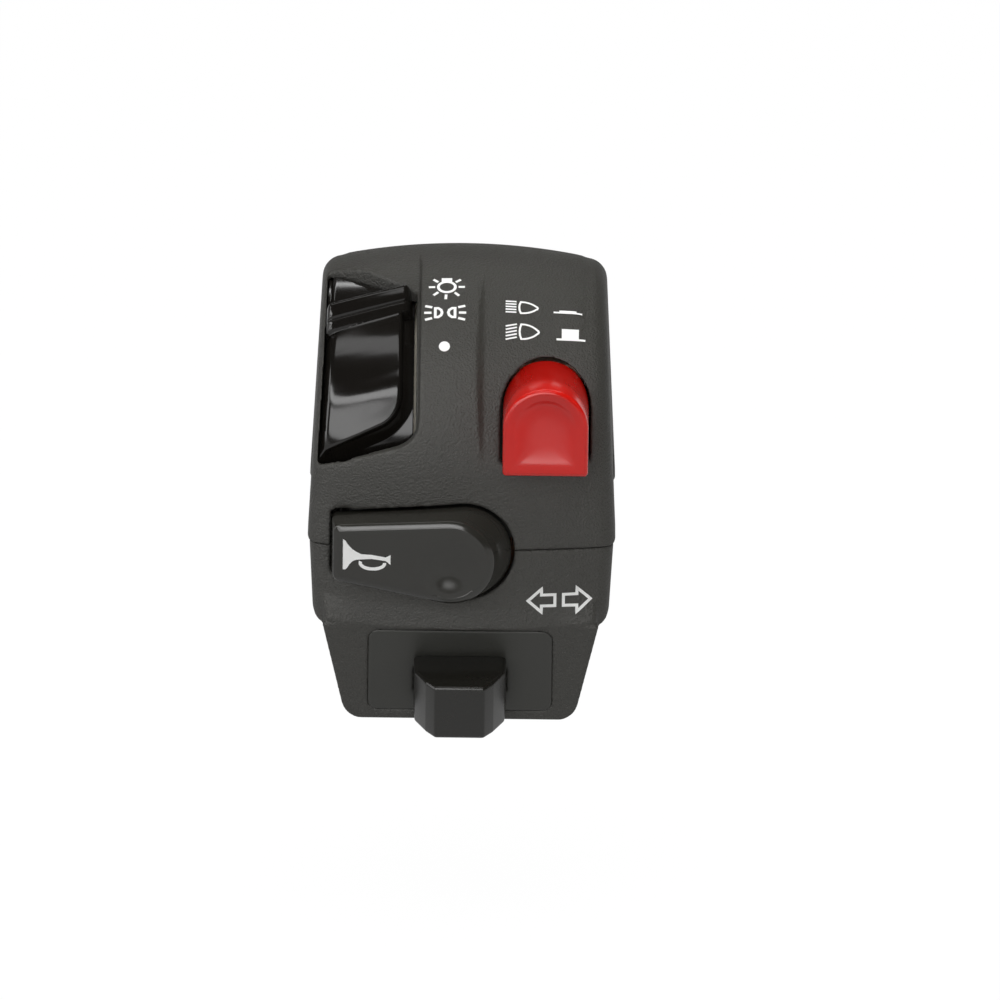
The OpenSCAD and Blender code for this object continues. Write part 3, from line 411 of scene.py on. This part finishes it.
def lever_height(x, angle):
    """Height of the lever's outer surface above its tail."""
    _, y, z = on_dome(x, tail_r + pad_rise, angle)
    left = x - (lever_side - half_width + z * side_lean)
    low = (z - pad_low_z - (x + half_width) * math.tan(pad_slope)) * math.cos(pad_slope)
    right = lever_right - x
    corner = pad_corner - math.hypot(max(pad_corner - low, 0), max(pad_corner - right, 0))
    along = (tail_r + 1) * (angle - ridge_at)
    s = along * math.cos(ridge_slant) - (x - ridge_middle) * math.sin(ridge_slant)
    if s > lever_profile[0][0]:
        rear = (rear_y - rear_slope * (x - rear_x) - y) * rear_square
        return (pad_rise - 0.35) * quarter_round(min(rear, right - 0.2, left - 0.5), rear_rim_r)
    height = along_profile(lever_profile, s)
    if s < scoop_start:
        twist = pad_twist * (x - ridge_middle) * (s - twist_middle)
        height += twist * min((scoop_start - s) / twist_run, 1)
    limit = side_limit(x, z) - tail_r
    if s > ridge_foot:
        ridge_end = quarter_round(min(x - ridge_left, ridge_right - x), ridge_end_r)
        beside = min(pad_rise, limit) * quarter_round(right, rim_r)
        return beside + (height - beside) * ridge_end
    rim = min(corner, low, right)
    if rim < 0:
        return max(rim * flange_fall, flange_low)
    blend = max(blend_reach - abs(height - limit), 0)
    return (min(height, limit) - blend ** 2 / (4 * blend_reach)) * quarter_round(rim, rim_r)


# Rows round the dome, in degrees: close together on the pad and further apart on the plain tail
pad_start, pad_step, pad_rows, lever_columns = 8, 0.25, 313, 100
lever_turns = [0, 3, 6] + [pad_start + pad_step * i for i in range(pad_rows)] + [90, 94, 99, 104, 109]
lever_rows = [math.radians(turn) for turn in lever_turns]
points, faces = [], []
for angle in lever_rows:
    z = dome_z + (tail_r + 1) * math.sin(angle)
    left = lever_side - half_width + z * side_lean
    for i in range(lever_columns + 1):
        x = left + (tail_right - left) * i / lever_columns
        points.append(on_dome(x, tail_r + lever_height(x, angle), angle))
    points += [on_dome(left, tail_r - tail_thick, angle), on_dome(tail_right, tail_r - tail_thick, angle)]
row = lever_columns + 3
for j in range(len(lever_rows) - 1):
    ring = list(range(j * row, j * row + lever_columns + 1)) + [j * row + row - 1, j * row + row - 2]
    for a, b in zip(ring, ring[1:] + ring[:1]):
        faces.append((a, b, b + row, a + row))
last = (len(lever_rows) - 1) * row
for first in (0, last):
    faces.append([first + i for i in range(lever_columns + 1)] + [first + row - 1, first + row - 2])
lever = add_mesh("light_lever_moulding", points, faces)
own(lever, lever_gloss, "light_switch", "lever_gloss", "light_lever")


# Beam button: an arched push-button moulded in red ABS with a satin face. The face is dished for
# the thumb inside a narrow rounded rim, and the body runs back into the housing as a square stem.
def join(*forms):
    """Several forms as one set of points and faces."""
    points, faces = [], []
    for more_points, more_faces in forms:
        faces += [[i + len(points) for i in face] for face in more_faces]
        points += more_points
    return points, faces


def arc(centre, r, start, end, steps):
    """Points on an arc, angles in degrees, both ends included."""
    turns = [math.radians(start + (end - start) * i / steps) for i in range(steps + 1)]
    return [(centre[0] + r * math.cos(t), centre[1] + r * math.sin(t)) for t in turns]


button_x, button_low, button_width, button_height = 12.6, 14.2, 13.0, 13.9
button_back, button_face = -15.0, -29.1
foot_corner_r, arch_steps, side_steps, low_steps, corner_steps = 0.6, 48, 8, 12, 6
# The dish deepens from a tenth at its lower edge to its full depth over this height
dish_from, dish_run, dish_least = 1, 10.5, 0.1


def arch(inset):
    """Arch outline in X and Z with small rounds at its lower corners."""
    half = button_width / 2 - inset
    top = button_low + button_height - button_width / 2
    low = button_low + inset
    r = min(max(foot_corner_r - inset, 0.15 + 0.25 * inset), 0.8 * half)
    right = button_x + half
    left = button_x - half
    outline = arc((button_x, top), half, 0, 180, arch_steps)
    outline += [(left, top + (low + r - top) * i / side_steps) for i in range(1, side_steps)]
    outline += arc((left + r, low + r), r, 180, 270, corner_steps)
    outline += [(left + r + (right - left - 2 * r) * i / low_steps, low) for i in range(1, low_steps)]
    outline += arc((right - r, low + r), r, 270, 360, corner_steps)
    outline += [(right, low + r + (top - low - r) * i / side_steps) for i in range(1, side_steps)]
    return outline


def button_ring(inset, y, sag=0.0):
    """A ring of the button, set back by a depth that grows from its lower edge to its upper part."""
    ring = []
    for x, z in arch(inset):
        rise = min(max(z - button_low - dish_from, 0) / dish_run, 1)
        ring.append((x, y + sag * (dish_least + (1 - dish_least) * rise), z))
    return ring


button_rim_r, button_rim_y = 0.7, -28.4
rim = [(0, button_back), (0, -26.0), (0, -28.3)]
for turn in range(15, 91, 15):
    t = math.radians(turn)
    rim.append((button_rim_r - button_rim_r * math.cos(t), button_rim_y - button_rim_r * math.sin(t)))
rings = [button_ring(inset, y) for inset, y in rim]
# The dish: full under the arch and fading to the lower edge, as (drawn in, depth)
for inset, depth in ((1.2, 0.3), (1.6, 0.42), (1.8, 0.52), (2.0, 0.68), (2.25, 0.92), (2.6, 1.2),
                     (3.0, 1.42), (3.5, 1.6), (4.0, 1.72), (4.5, 1.8), (5.0, 1.84)):
    rings.append(button_ring(inset, button_face, depth))
cap = loft(rings)
stem_half, stem_z, stem_back = 4.5, 20.0, -1.5
stem_ring = [(button_x + sx * stem_half, stem_z + sz * stem_half)
             for sx, sz in ((-1, -1), (1, -1), (1, 1), (-1, 1))]
shank = loft([[(x, y, z) for x, z in stem_ring] for y in (button_back - 0.5, stem_back)])
button = add_mesh("beam_button_moulding", *join(cap, shank))
satin_red = surface_finish("satin_abs_red", ("#cc140a", "#d2160b"), rough=(0.18, 0.24),
                           grain=0.5, depth=0.004)
own(button, satin_red, "beam_switch", "button_red", "beam_button")


# Horn paddle: a rocker hinged at its left end, moulded in gloss black acetal. Its face leans out
# towards a round right-hand end, which is dimpled for the thumb, and a flat breaks its edge.
paddle_left, paddle_top, paddle_low = -19.75, 5.3, -4.4
paddle_back, wall_y = -20.2, -22.5
face_out, face_lean = 3.5, math.tan(math.radians(3))
outline_step, outline_points = 0.6, 160
paddle_gloss = surface_finish("gloss_acetal_paddle", ("#2a2925", "#2d2c28"), rough=(0.12, 0.18),
                              grain=1.6, depth=0.003)


def between(a, b, share):
    """The point that lies a share of the way from one point to another."""
    return tuple(p + (q - p) * share for p, q in zip(a, b))


def paddle_outline(end, r, left, top, low, corner):
    """Outline in X and Z, even steps along it: rounded left corners, tangents, a round right end."""
    def touch(point, side):
        away = (point[0] - end[0], point[1] - end[1])
        turn = math.atan2(away[1], away[0]) + side * math.acos(r / math.hypot(*away))
        return math.degrees(turn) % 360
    low_turn = touch((left, low), 1)
    top_turn = touch((left, top), -1)
    outline = arc(end, r, low_turn - 360 if low_turn > 180 else low_turn, top_turn, 60)
    outline += arc((left + corner, top - corner), corner, 92, 180, 10)
    outline += arc((left + corner, low + corner), corner, 180, 258, 10)
    dense = []
    for a, b in zip(outline, outline[1:] + outline[:1]):
        steps = max(1, round(math.dist(a, b) / outline_step))
        dense += [between(a, b, i / steps) for i in range(steps)]
    length = [0]
    for a, b in zip(dense, dense[1:] + dense[:1]):
        length.append(length[-1] + math.dist(a, b))
    even, k = [], 0
    for i in range(outline_points):
        want = length[-1] * i / outline_points
        while length[k + 1] < want:
            k += 1
        a, b = dense[k], dense[(k + 1) % len(dense)]
        even.append(between(a, b, (want - length[k]) / (length[k + 1] - length[k])))
    return even


base_end, base_r, face_end, face_r = (0.4, -0.3), 7.2, (-1.6, -0.6), 6.7
base_line = paddle_outline(base_end, base_r, paddle_left, paddle_top, paddle_low, 0.8)
face_line = paddle_outline(face_end, face_r, paddle_left + 0.2, paddle_top - 0.2, paddle_low + 0.2, 1.2)
dimple_at, dimple_r, dimple_depth = (-1.7, -1.6), 4.95, 0.88


def face_y(x):
    """Where the leaning face lies in front of a place along the paddle."""
    return wall_y - face_out - (x - paddle_left) * face_lean


def shrunk(line, inset):
    """An outline drawn in evenly from its edge."""
    count = len(line)
    inner = []
    for i, (x, z) in enumerate(line):
        before, after = line[i - 1], line[(i + 1) % count]
        along = (after[0] - before[0], after[1] - before[1])
        size = math.hypot(*along)
        inner.append((x - along[1] / size * inset, z + along[0] / size * inset))
    return inner


rings = [[(x, paddle_back, z) for x, z in base_line], [(x, wall_y + 0.1, z) for x, z in base_line]]
paddle_edge, edge_high, dimple_steps = 1.1, 0.9, 12.5
for share in (0.35, 0.7, 1.0):
    ends = [((x0, wall_y, z0), (x1, face_y(x1) + edge_high, z1))
            for (x0, z0), (x1, z1) in zip(base_line, face_line)]
    rings.append([between(a, b, share) for a, b in ends])


def on_face(line, below=0):
    """A ring of points on the face, or a little below it, at places in X and Z."""
    return [(x, face_y(x) + below, z) for x, z in line]


# The edge is broken by a flat between two small rounds, as (drawn in, below the face)
for inset, below in ((0.01, 0.72), (0.05, 0.62), (0.12, 0.53), (0.22, 0.44), (0.53, 0.27), (0.84, 0.10),
                     (0.97, 0.04), (paddle_edge, 0)):
    rings.append(on_face(shrunk(face_line, inset), below))
inner_line = shrunk(face_line, paddle_edge)
turns = [math.atan2(z - dimple_at[1], x - dimple_at[0]) for x, z in inner_line]


def dimple_line(r):
    """A round about the dimple's middle, with a point for each point of the face's inner line."""
    return [(dimple_at[0] + r * math.cos(t), dimple_at[1] + r * math.sin(t)) for t in turns]


for share in (0.12, 0.3, 0.5, 0.7, 0.85, 1.0):
    rings.append(on_face([between(a, b, share) for a, b in zip(inner_line, dimple_line(dimple_r))]))
for i in range(1, math.ceil(dimple_steps)):
    share = 1 - i / dimple_steps
    sink = dimple_depth * (math.cos(math.pi * share) * 0.5 + 0.5) ** 0.9
    rings.append(on_face(dimple_line(dimple_r * share), sink))
pin_at, lug_r, lug_z = (-17.7, -18.1), 1.65, (-4.1, -2.2)
lug_ring = arc(pin_at, lug_r, 0, 345, 23)
lug = loft([[(x, y, z) for x, y in lug_ring] for z in lug_z])
paddle = add_mesh("horn_paddle_moulding", *join(loft(rings), lug))
own(paddle, paddle_gloss, "horn", "paddle_gloss", "horn_paddle")


# Turn panel: a plate let into the turn box, moulded in the same nylon with a smoother finish. The
# slider's shank passes through a slot in it, and two screws hold the contact base behind it.
panel_nylon = surface_finish("smooth_nylon_black", ("#2d2d29", "#31312d"), rough=(0.40, 0.48),
                             grain=0.3, depth=0.010)
panel_plate = moulded_copy("turn_panel", "turn_panel_plate", voxel=0.25, passes=3)
plate_low, plate_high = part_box("turn_panel")
plate_middle = (plate_low[2] + plate_high[2]) / 2
# The plate is drawn out by these shares to a fine fit in its opening
plate_wider, plate_higher = 0.016, 0.026
for v in panel_plate.data.vertices:
    v.co.x *= 1 + plate_wider
    v.co.z += (v.co.z - plate_middle) * plate_higher
own(panel_plate, panel_nylon, "housing", "housing", "turn_panel")


# Turn slider: the thumb-piece of the turn switch, moulded in gloss black acetal. It narrows in
# two facets from the panel to its flat front, and it slides to each side for the turn signals.
panel_at, panel_tilt = (-18.86, -22.1), math.radians(15)
knob_half, knob_length, knob_out, knob_gap = 7.1, 9.5, 9.0, 0.35


def on_panel(x, up, out):
    """A place on the turn panel: sideways, up its slope and out of it."""
    return (x, panel_at[0] - up * math.sin(panel_tilt) - out * math.cos(panel_tilt),
            panel_at[1] + up * math.cos(panel_tilt) - out * math.sin(panel_tilt))


def rounded(corners, r, steps):
    """A closed outline with every corner rounded."""
    outline = []
    for i, corner in enumerate(corners):
        at = Vector(corner)
        before = (Vector(corners[i - 1]) - at).normalized()
        after = (Vector(corners[(i + 1) % len(corners)]) - at).normalized()
        half_turn = before.angle(after) / 2
        reach = r / math.tan(half_turn)
        a, b = at + before * reach, at + after * reach
        for k in range(steps + 1):
            share = k / steps
            outline.append(tuple(a * (1 - share) ** 2 + at * 2 * share * (1 - share) + b * share ** 2))
    return outline


# Half of the slider's outline, as shares of its half width and of how far it stands out
knob_shape = [(1.0, 0.0), (0.97, 0.5), (0.73, 0.82), (0.53, 1.0)]
knob_corner_r, knob_edge, edge_turn = 0.55, 0.7, 15
knob_corners = [(x * knob_half, out * knob_out) for x, out in knob_shape]
knob_corners += [(-x, out) for x, out in reversed(knob_corners)]
knob_line = rounded(knob_corners, knob_corner_r, 4)
rings = []
for side in (-1, 1):
    for degrees in range(0, 91, edge_turn)[::side]:
        turn = math.radians(degrees)
        inset = knob_edge - knob_edge * math.cos(turn)
        up = side * (knob_length / 2 - knob_edge + knob_edge * math.sin(turn))
        narrower, flatter = 1 - inset / knob_half, 1 - 2 * inset / knob_out
        rings.append([on_panel(x * narrower, up, knob_gap + knob_out / 2 + (out - knob_out / 2) * flatter)
                      for x, out in knob_line])
shank_half, shank_high, shank_ends = 1.6, 2.0, (0.6, -5.9)
shank_ring = [(sx * shank_half, sy * shank_high) for sx, sy in ((-1, -1), (1, -1), (1, 1), (-1, 1))]
knob_shank = loft([[on_panel(x, up, out) for x, up in shank_ring] for out in shank_ends])
knob_gloss = surface_finish("gloss_acetal_slider", ("#191814", "#1c1b17"), rough=(0.20, 0.28),
                            grain=1.2, depth=0.004)
slider = add_mesh("turn_slider_moulding", *join(loft(rings), knob_shank))
own(slider, knob_gloss, "turn_switch", "slider_gloss", "turn_slider")


# Signs: white marks that tell the rider what each control does, pad printed in two-part ink on the
# finished mouldings. Each stroke is a thin film laid on the surface that it was printed on.
ink_thick, ink_step, ink_from_r = 0.05, 0.4, 34
white_ink = surface_finish("pad_print_ink_white", ("#f2f2f0", "#f7f7f5"), rough=(0.45, 0.55),
                           grain=0.2, depth=0.004, mottle=2.0)


def ribbon(path, width):
    """Left and right edge points of a stroke along a path, and whether the path is closed."""
    closed = path[0] == path[-1]
    dense = []
    for a, b in zip(path, path[1:]):
        steps = max(1, math.ceil(math.dist(a, b) / ink_step))
        dense += [between(a, b, i / steps) for i in range(steps)]
    if not closed:
        dense.append(path[-1])
    edges = []
    for i, (u, v) in enumerate(dense):
        after = dense[(i + 1) % len(dense)] if closed or i + 1 < len(dense) else None
        before = dense[i - 1] if closed or i > 0 else None
        ways = [Vector((b[0] - a[0], b[1] - a[1])).normalized()
                for a, b in ((before, (u, v)), ((u, v), after)) if a and b]
        side = sum((Vector((-way.y, way.x)) for way in ways), Vector((0, 0))).normalized()
        reach = width / 2 / max(side.dot(Vector((-ways[0].y, ways[0].x))), 0.5)
        edges.append(((u + side.x * reach, v + side.y * reach), (u - side.x * reach, v - side.y * reach)))
    return edges, closed


def print_on(name, target, body, strokes, aim):
    """Lays strokes on a moulding. Aim gives the start in mm and the direction of a ray for each (u, v). A
    stroke without a width is a list of the pairs of edge points between which its ink lies."""
    mesh = target.data
    surface = BVHTree.FromPolygons([v.co for v in mesh.vertices], [p.vertices for p in mesh.polygons])
    points, faces = [], []
    for path, width in strokes:
        edges, closed = ribbon(path, width) if width else (path, False)
        first = len(points)
        for pair in edges:
            for u, v in pair:
                start, way = aim(u, v)
                hit = surface.ray_cast(Vector(start) * MM, Vector(way).normalized())
                points += [(hit[0] + hit[1] * height * MM) / MM for height in (ink_thick * 0.2, ink_thick)]
        count = len(edges)
        for i in range(count if closed else count - 1):
            a, b = first + 4 * i, first + 4 * ((i + 1) % count)
            faces += [(a + 1, b + 1, b + 3, a + 3), (a + 2, b + 2, b, a)]
            faces += [(a, b, b + 1, a + 1), (a + 3, b + 3, b + 2, a + 2)]
        if not closed:
            end = first + 4 * (count - 1)
            faces += [(first, first + 1, first + 3, first + 2), (end + 2, end + 3, end + 1, end)]
    sign = add_mesh(name, points, faces)
    sign.data.shade_flat()
    sign.data.materials.append(white_ink)
    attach(sign, body)


def on_dome_at(x, angle):
    """Aim for marks on the dome round a place at x and an angle in degrees."""
    def aim(u, v):
        start = on_dome(x + u, ink_from_r, math.radians(angle) + v / dome_r)
        return start, (0, dome_y - start[1], dome_z - start[2])
    return aim


def on_front_at(x, z):
    """Aim for marks on a face that is seen from the front, round a place in X and Z."""
    return lambda u, v: ((x + u, far_front, z + v), (0, 1, 0))


def oval(u, v, wide, high, start=0, end=360, count=32):
    """Points round an oval between two angles in degrees. A full turn comes back to its first point."""
    turns = [math.radians(start + (end - start) * i / count) for i in range(count)]
    outline = [(u + wide * math.cos(t), v + high * math.sin(t)) for t in turns]
    if end - start == 360:
        outline.append(outline[0])
    return outline


def lamp(left, nose, half):
    """Outline of a headlamp seen from the side: a bowed back and a rounded nose at its right."""
    bows = ((0.25, 1), (0.05, 0.5), (0, 0), (0.05, -0.5), (0.25, -1))
    back = [(left + bow, half * share) for bow, share in bows]
    low = []
    for t in (0.3, 0.5, 0.68, 0.82, 0.92):
        low.append((left + (nose - left) * t, -half * (1 - ((t - 0.15) / 0.85) ** 2) ** 0.8))
    high = [(u, -v) for u, v in reversed(low)]
    return back + low + [(nose - 0.08, -0.22), (nose, 0), (nose - 0.08, 0.22)] + high + [back[0]]


fine, bold, ray = 0.30, 0.42, 0.26
# A lit bulb: its glass, its cap and the rays round it
lit_bulb = [(oval(0, 0, 1.3, 1.18), bold), ([(0, 1.05), (0, 2.1)], 1.6)]
for turn in (0, 40, 138, 180, 223, 313, 267):
    way = (math.cos(math.radians(turn)), math.sin(math.radians(turn)))
    lit_bulb.append(([(1.78 * way[0], 1.72 * way[1]), (2.75 * way[0], 2.7 * way[1])], bold))
print_on("sign_lights_on", upper_shell, "housing", lit_bulb, on_dome_at(-2.7, 67.3))

# Two small lamps back to back, each with three rays
side_lamps = []
side_lamp = [(1.5, 0.85), (1.5, -0.85), (1.05, -0.85), (0.62, -0.5), (0.48, 0), (0.62, 0.5), (1.05, 0.85)]
side_lamp.append(side_lamp[0])
for side in (-1, 1):
    side_lamps.append(([(side * u, v) for u, v in side_lamp], bold))
    for rise in (-1, 0, 1):
        side_lamps.append(([(side * (2.08 - 0.1 * abs(rise)), 1.03 * rise),
                            (side * (3.2 - 0.15 * abs(rise)), 1.33 * rise)], bold))
print_on("sign_position_lamps", upper_shell, "housing", side_lamps, on_dome_at(-2.9, 56.1))

# A full dot, as upright pairs of points across it
dot_r = 0.84
dot = [((dot_r * math.sin(t), dot_r * math.cos(t)), (dot_r * math.sin(t), -dot_r * math.cos(t)))
       for t in [math.radians(10 * i - 85) for i in range(18)]]
print_on("sign_lights_off", upper_shell, "housing", [(dot, 0)], on_dome_at(-2.95, 43.5))

# A headlamp with level rays for the main beam, and one with rays that fall for the dipped beam
main_beam = [(lamp(-0.42, 2.4, 1.12), fine)]
main_beam += [([(-2.5, 1.15 - 0.53 * i), (-0.85, 1.15 - 0.53 * i)], ray) for i in range(5)]
print_on("sign_main_beam", upper_shell, "housing", main_beam, on_dome_at(8.8, 60.2))
dipped_beam = [(lamp(-0.42, 2.5, 1.35), fine)]
dipped_beam += [([(-2.55, 0.9 - 0.6 * i), (-0.85, 1.36 - 0.6 * i)], ray) for i in range(5)]
print_on("sign_dipped_beam", upper_shell, "housing", dipped_beam, on_dome_at(8.9, 50.6))
# The button seen from the side: down in its seat, and standing out of it
pressed = [([(-2.18, -0.1), (2.18, -0.1)], fine), ([(-1.3, 0.17), (1.3, 0.17)], fine)]
print_on("sign_button_pressed", upper_shell, "housing", pressed, on_dome_at(15.8, 59.1))
raised = [([(-2.2, -0.8), (2.2, -0.8)], 0.36), ([(-0.1, -0.66), (-0.1, 1.15)], 2.6)]
print_on("sign_button_raised", upper_shell, "housing", raised, on_dome_at(16.3, 49.9))

# Two outlined arrows that point away from each other
arrow_end, arrow_neck, arrow_tail, arrow_half, arrow_shaft = 4.75, 2.05, 4.1, 1.85, 0.88
arrow_upper = [(0, 0), (arrow_neck, arrow_half), (arrow_neck, arrow_shaft), (arrow_tail, arrow_shaft)]
arrow = arrow_upper + [(u, -v) for u, v in reversed(arrow_upper)]
arrows = [([(side * (u - arrow_end), v) for u, v in arrow], 0.45) for side in (1, -1)]
print_on("sign_turn_arrows", lower_shell, "housing", arrows, on_front_at(15.0, -8.3))

# The bell and tube of the horn, as places along it with the tube's upper and lower edges there
horn_edges = [(0, 2.8, -2.05), (0.4, 2.55, -2.05), (0.68, 2.05, -1.75), (1, 1.64, -1.2),
              (1.5, 1.18, -0.68), (2.05, 0.8, -0.45), (2.8, 0.46, -0.38), (4.4, 0.38, -0.26),
              (5.65, 0.18, -0.42), (6.5, 0.03, -0.52), (7.25, 0.42, -1.12)]
bugle = [([((u, high), (u, low)) for u, high, low in horn_edges], 0)]
bugle.append((oval(4.5, -0.95, 1.85, 0.92, 165, 372), 0.5))
print_on("sign_horn", paddle, "horn", bugle, on_front_at(-18.0, 0.05))


# Cable grommet: a rubber sleeve pressed into the outlet behind the turn box, so that the loom is
# not chafed. It stays as the solid that the frame gives, with its edges eased.
def dress(material, rounding, *names):
    """Gives frame solids their finish and eases their edges by a radius in millimetres."""
    for name in names:
        solid = nodes[name]
        solid.data.materials.clear()
        solid.data.materials.append(material)
        weld = solid.modifiers.new("weld", "WELD")
        weld.merge_threshold = 0.001 * MM
        edges = solid.modifiers.new("edges", "BEVEL")
        edges.width = rounding * MM
        edges.segments = 2
        edges.limit_method = "ANGLE"
        edges.angle_limit = math.radians(40)


nitrile_rubber = surface_finish("nitrile_rubber_black", ("#1d1d1c", "#242423"), rough=(0.62, 0.75),
                                grain=0.12, depth=0.02, mottle=3.0)
dress(nitrile_rubber, 0.25, "cable_grommet")


# Screws: pan-head steel screws with a zinc plating. Two draw the housing halves together behind
# the bar, and the shorter ones hold the carrier and the contact bases to the mouldings.
def metal(name, colours, rough, grain, depth):
    """A metal, with the clouds and marks that plating, rolling or drawing leaves on it."""
    return surface_finish(name, colours, rough, grain, depth, mottle=2.5, detail=4.0,
                          kind="Metallic", value=1.0)


plated_steel = metal("zinc_plated_steel", ("#b7b8b4", "#c6c7c5"), rough=(0.28, 0.42),
                     grain=0.15, depth=0.006)
dress(plated_steel, 0.12,
      "clamp_screws", "carrier_screws", "horn_base_screws", "turn_base_screws")


# Carrier, keeper and carriage: natural nylon mouldings inside the housing. The carrier is the
# curved track that the lever slides on, the keeper hooks the lever to it from below, and the
# carriage takes the slider's shank through the turn panel.
natural_nylon = surface_finish("natural_nylon", ("#d6cfbd", "#ddd7c8"), rough=(0.38, 0.46),
                               grain=0.4, depth=0.006)
dress(natural_nylon, 0.12,
      "switch_carrier", "light_keeper", "turn_carriage")


# Contact bases: sheets of phenolic paper laminate, punched and screwed in, that hold the fixed
# contacts of the beam, horn and turn switches apart.
laminate = surface_finish("phenolic_laminate", ("#5d3a22", "#6b4529"), rough=(0.40, 0.52),
                          grain=0.5, depth=0.01, mottle=1.2)
dress(laminate, 0.1,
      "beam_contact_plate", "horn_contact_base", "turn_contact_base")


# Contacts: strips and rivets stamped from brass. The bridges move with the controls, and the
# fixed ones are riveted to the bases where the loom's wires are soldered on.
brass = metal("rolled_brass", ("#c9a257", "#d2ad66"), rough=(0.24, 0.36),
              grain=0.3, depth=0.004)
dress(brass, 0.06,
      "light_contact_bridge", "light_fixed_contacts", "beam_contact_bridge", "beam_fixed_contacts",
      "horn_contact_blade", "horn_fixed_contact", "turn_contact_bridge", "turn_fixed_contacts")


# Springs and pin: hardened steel. The leaves snap into the detents, the coil pushes the button
# out, the wire latches it in, and the horn paddle turns on the pin.
spring_steel = metal("spring_steel", ("#8d8f92", "#9b9da0"), rough=(0.22, 0.34),
                     grain=0.1, depth=0.004)
dress(spring_steel, 0.04,
      "light_detent_leaf", "turn_detent_leaf", "beam_return_spring", "beam_latch_wire", "horn_pivot_pin")
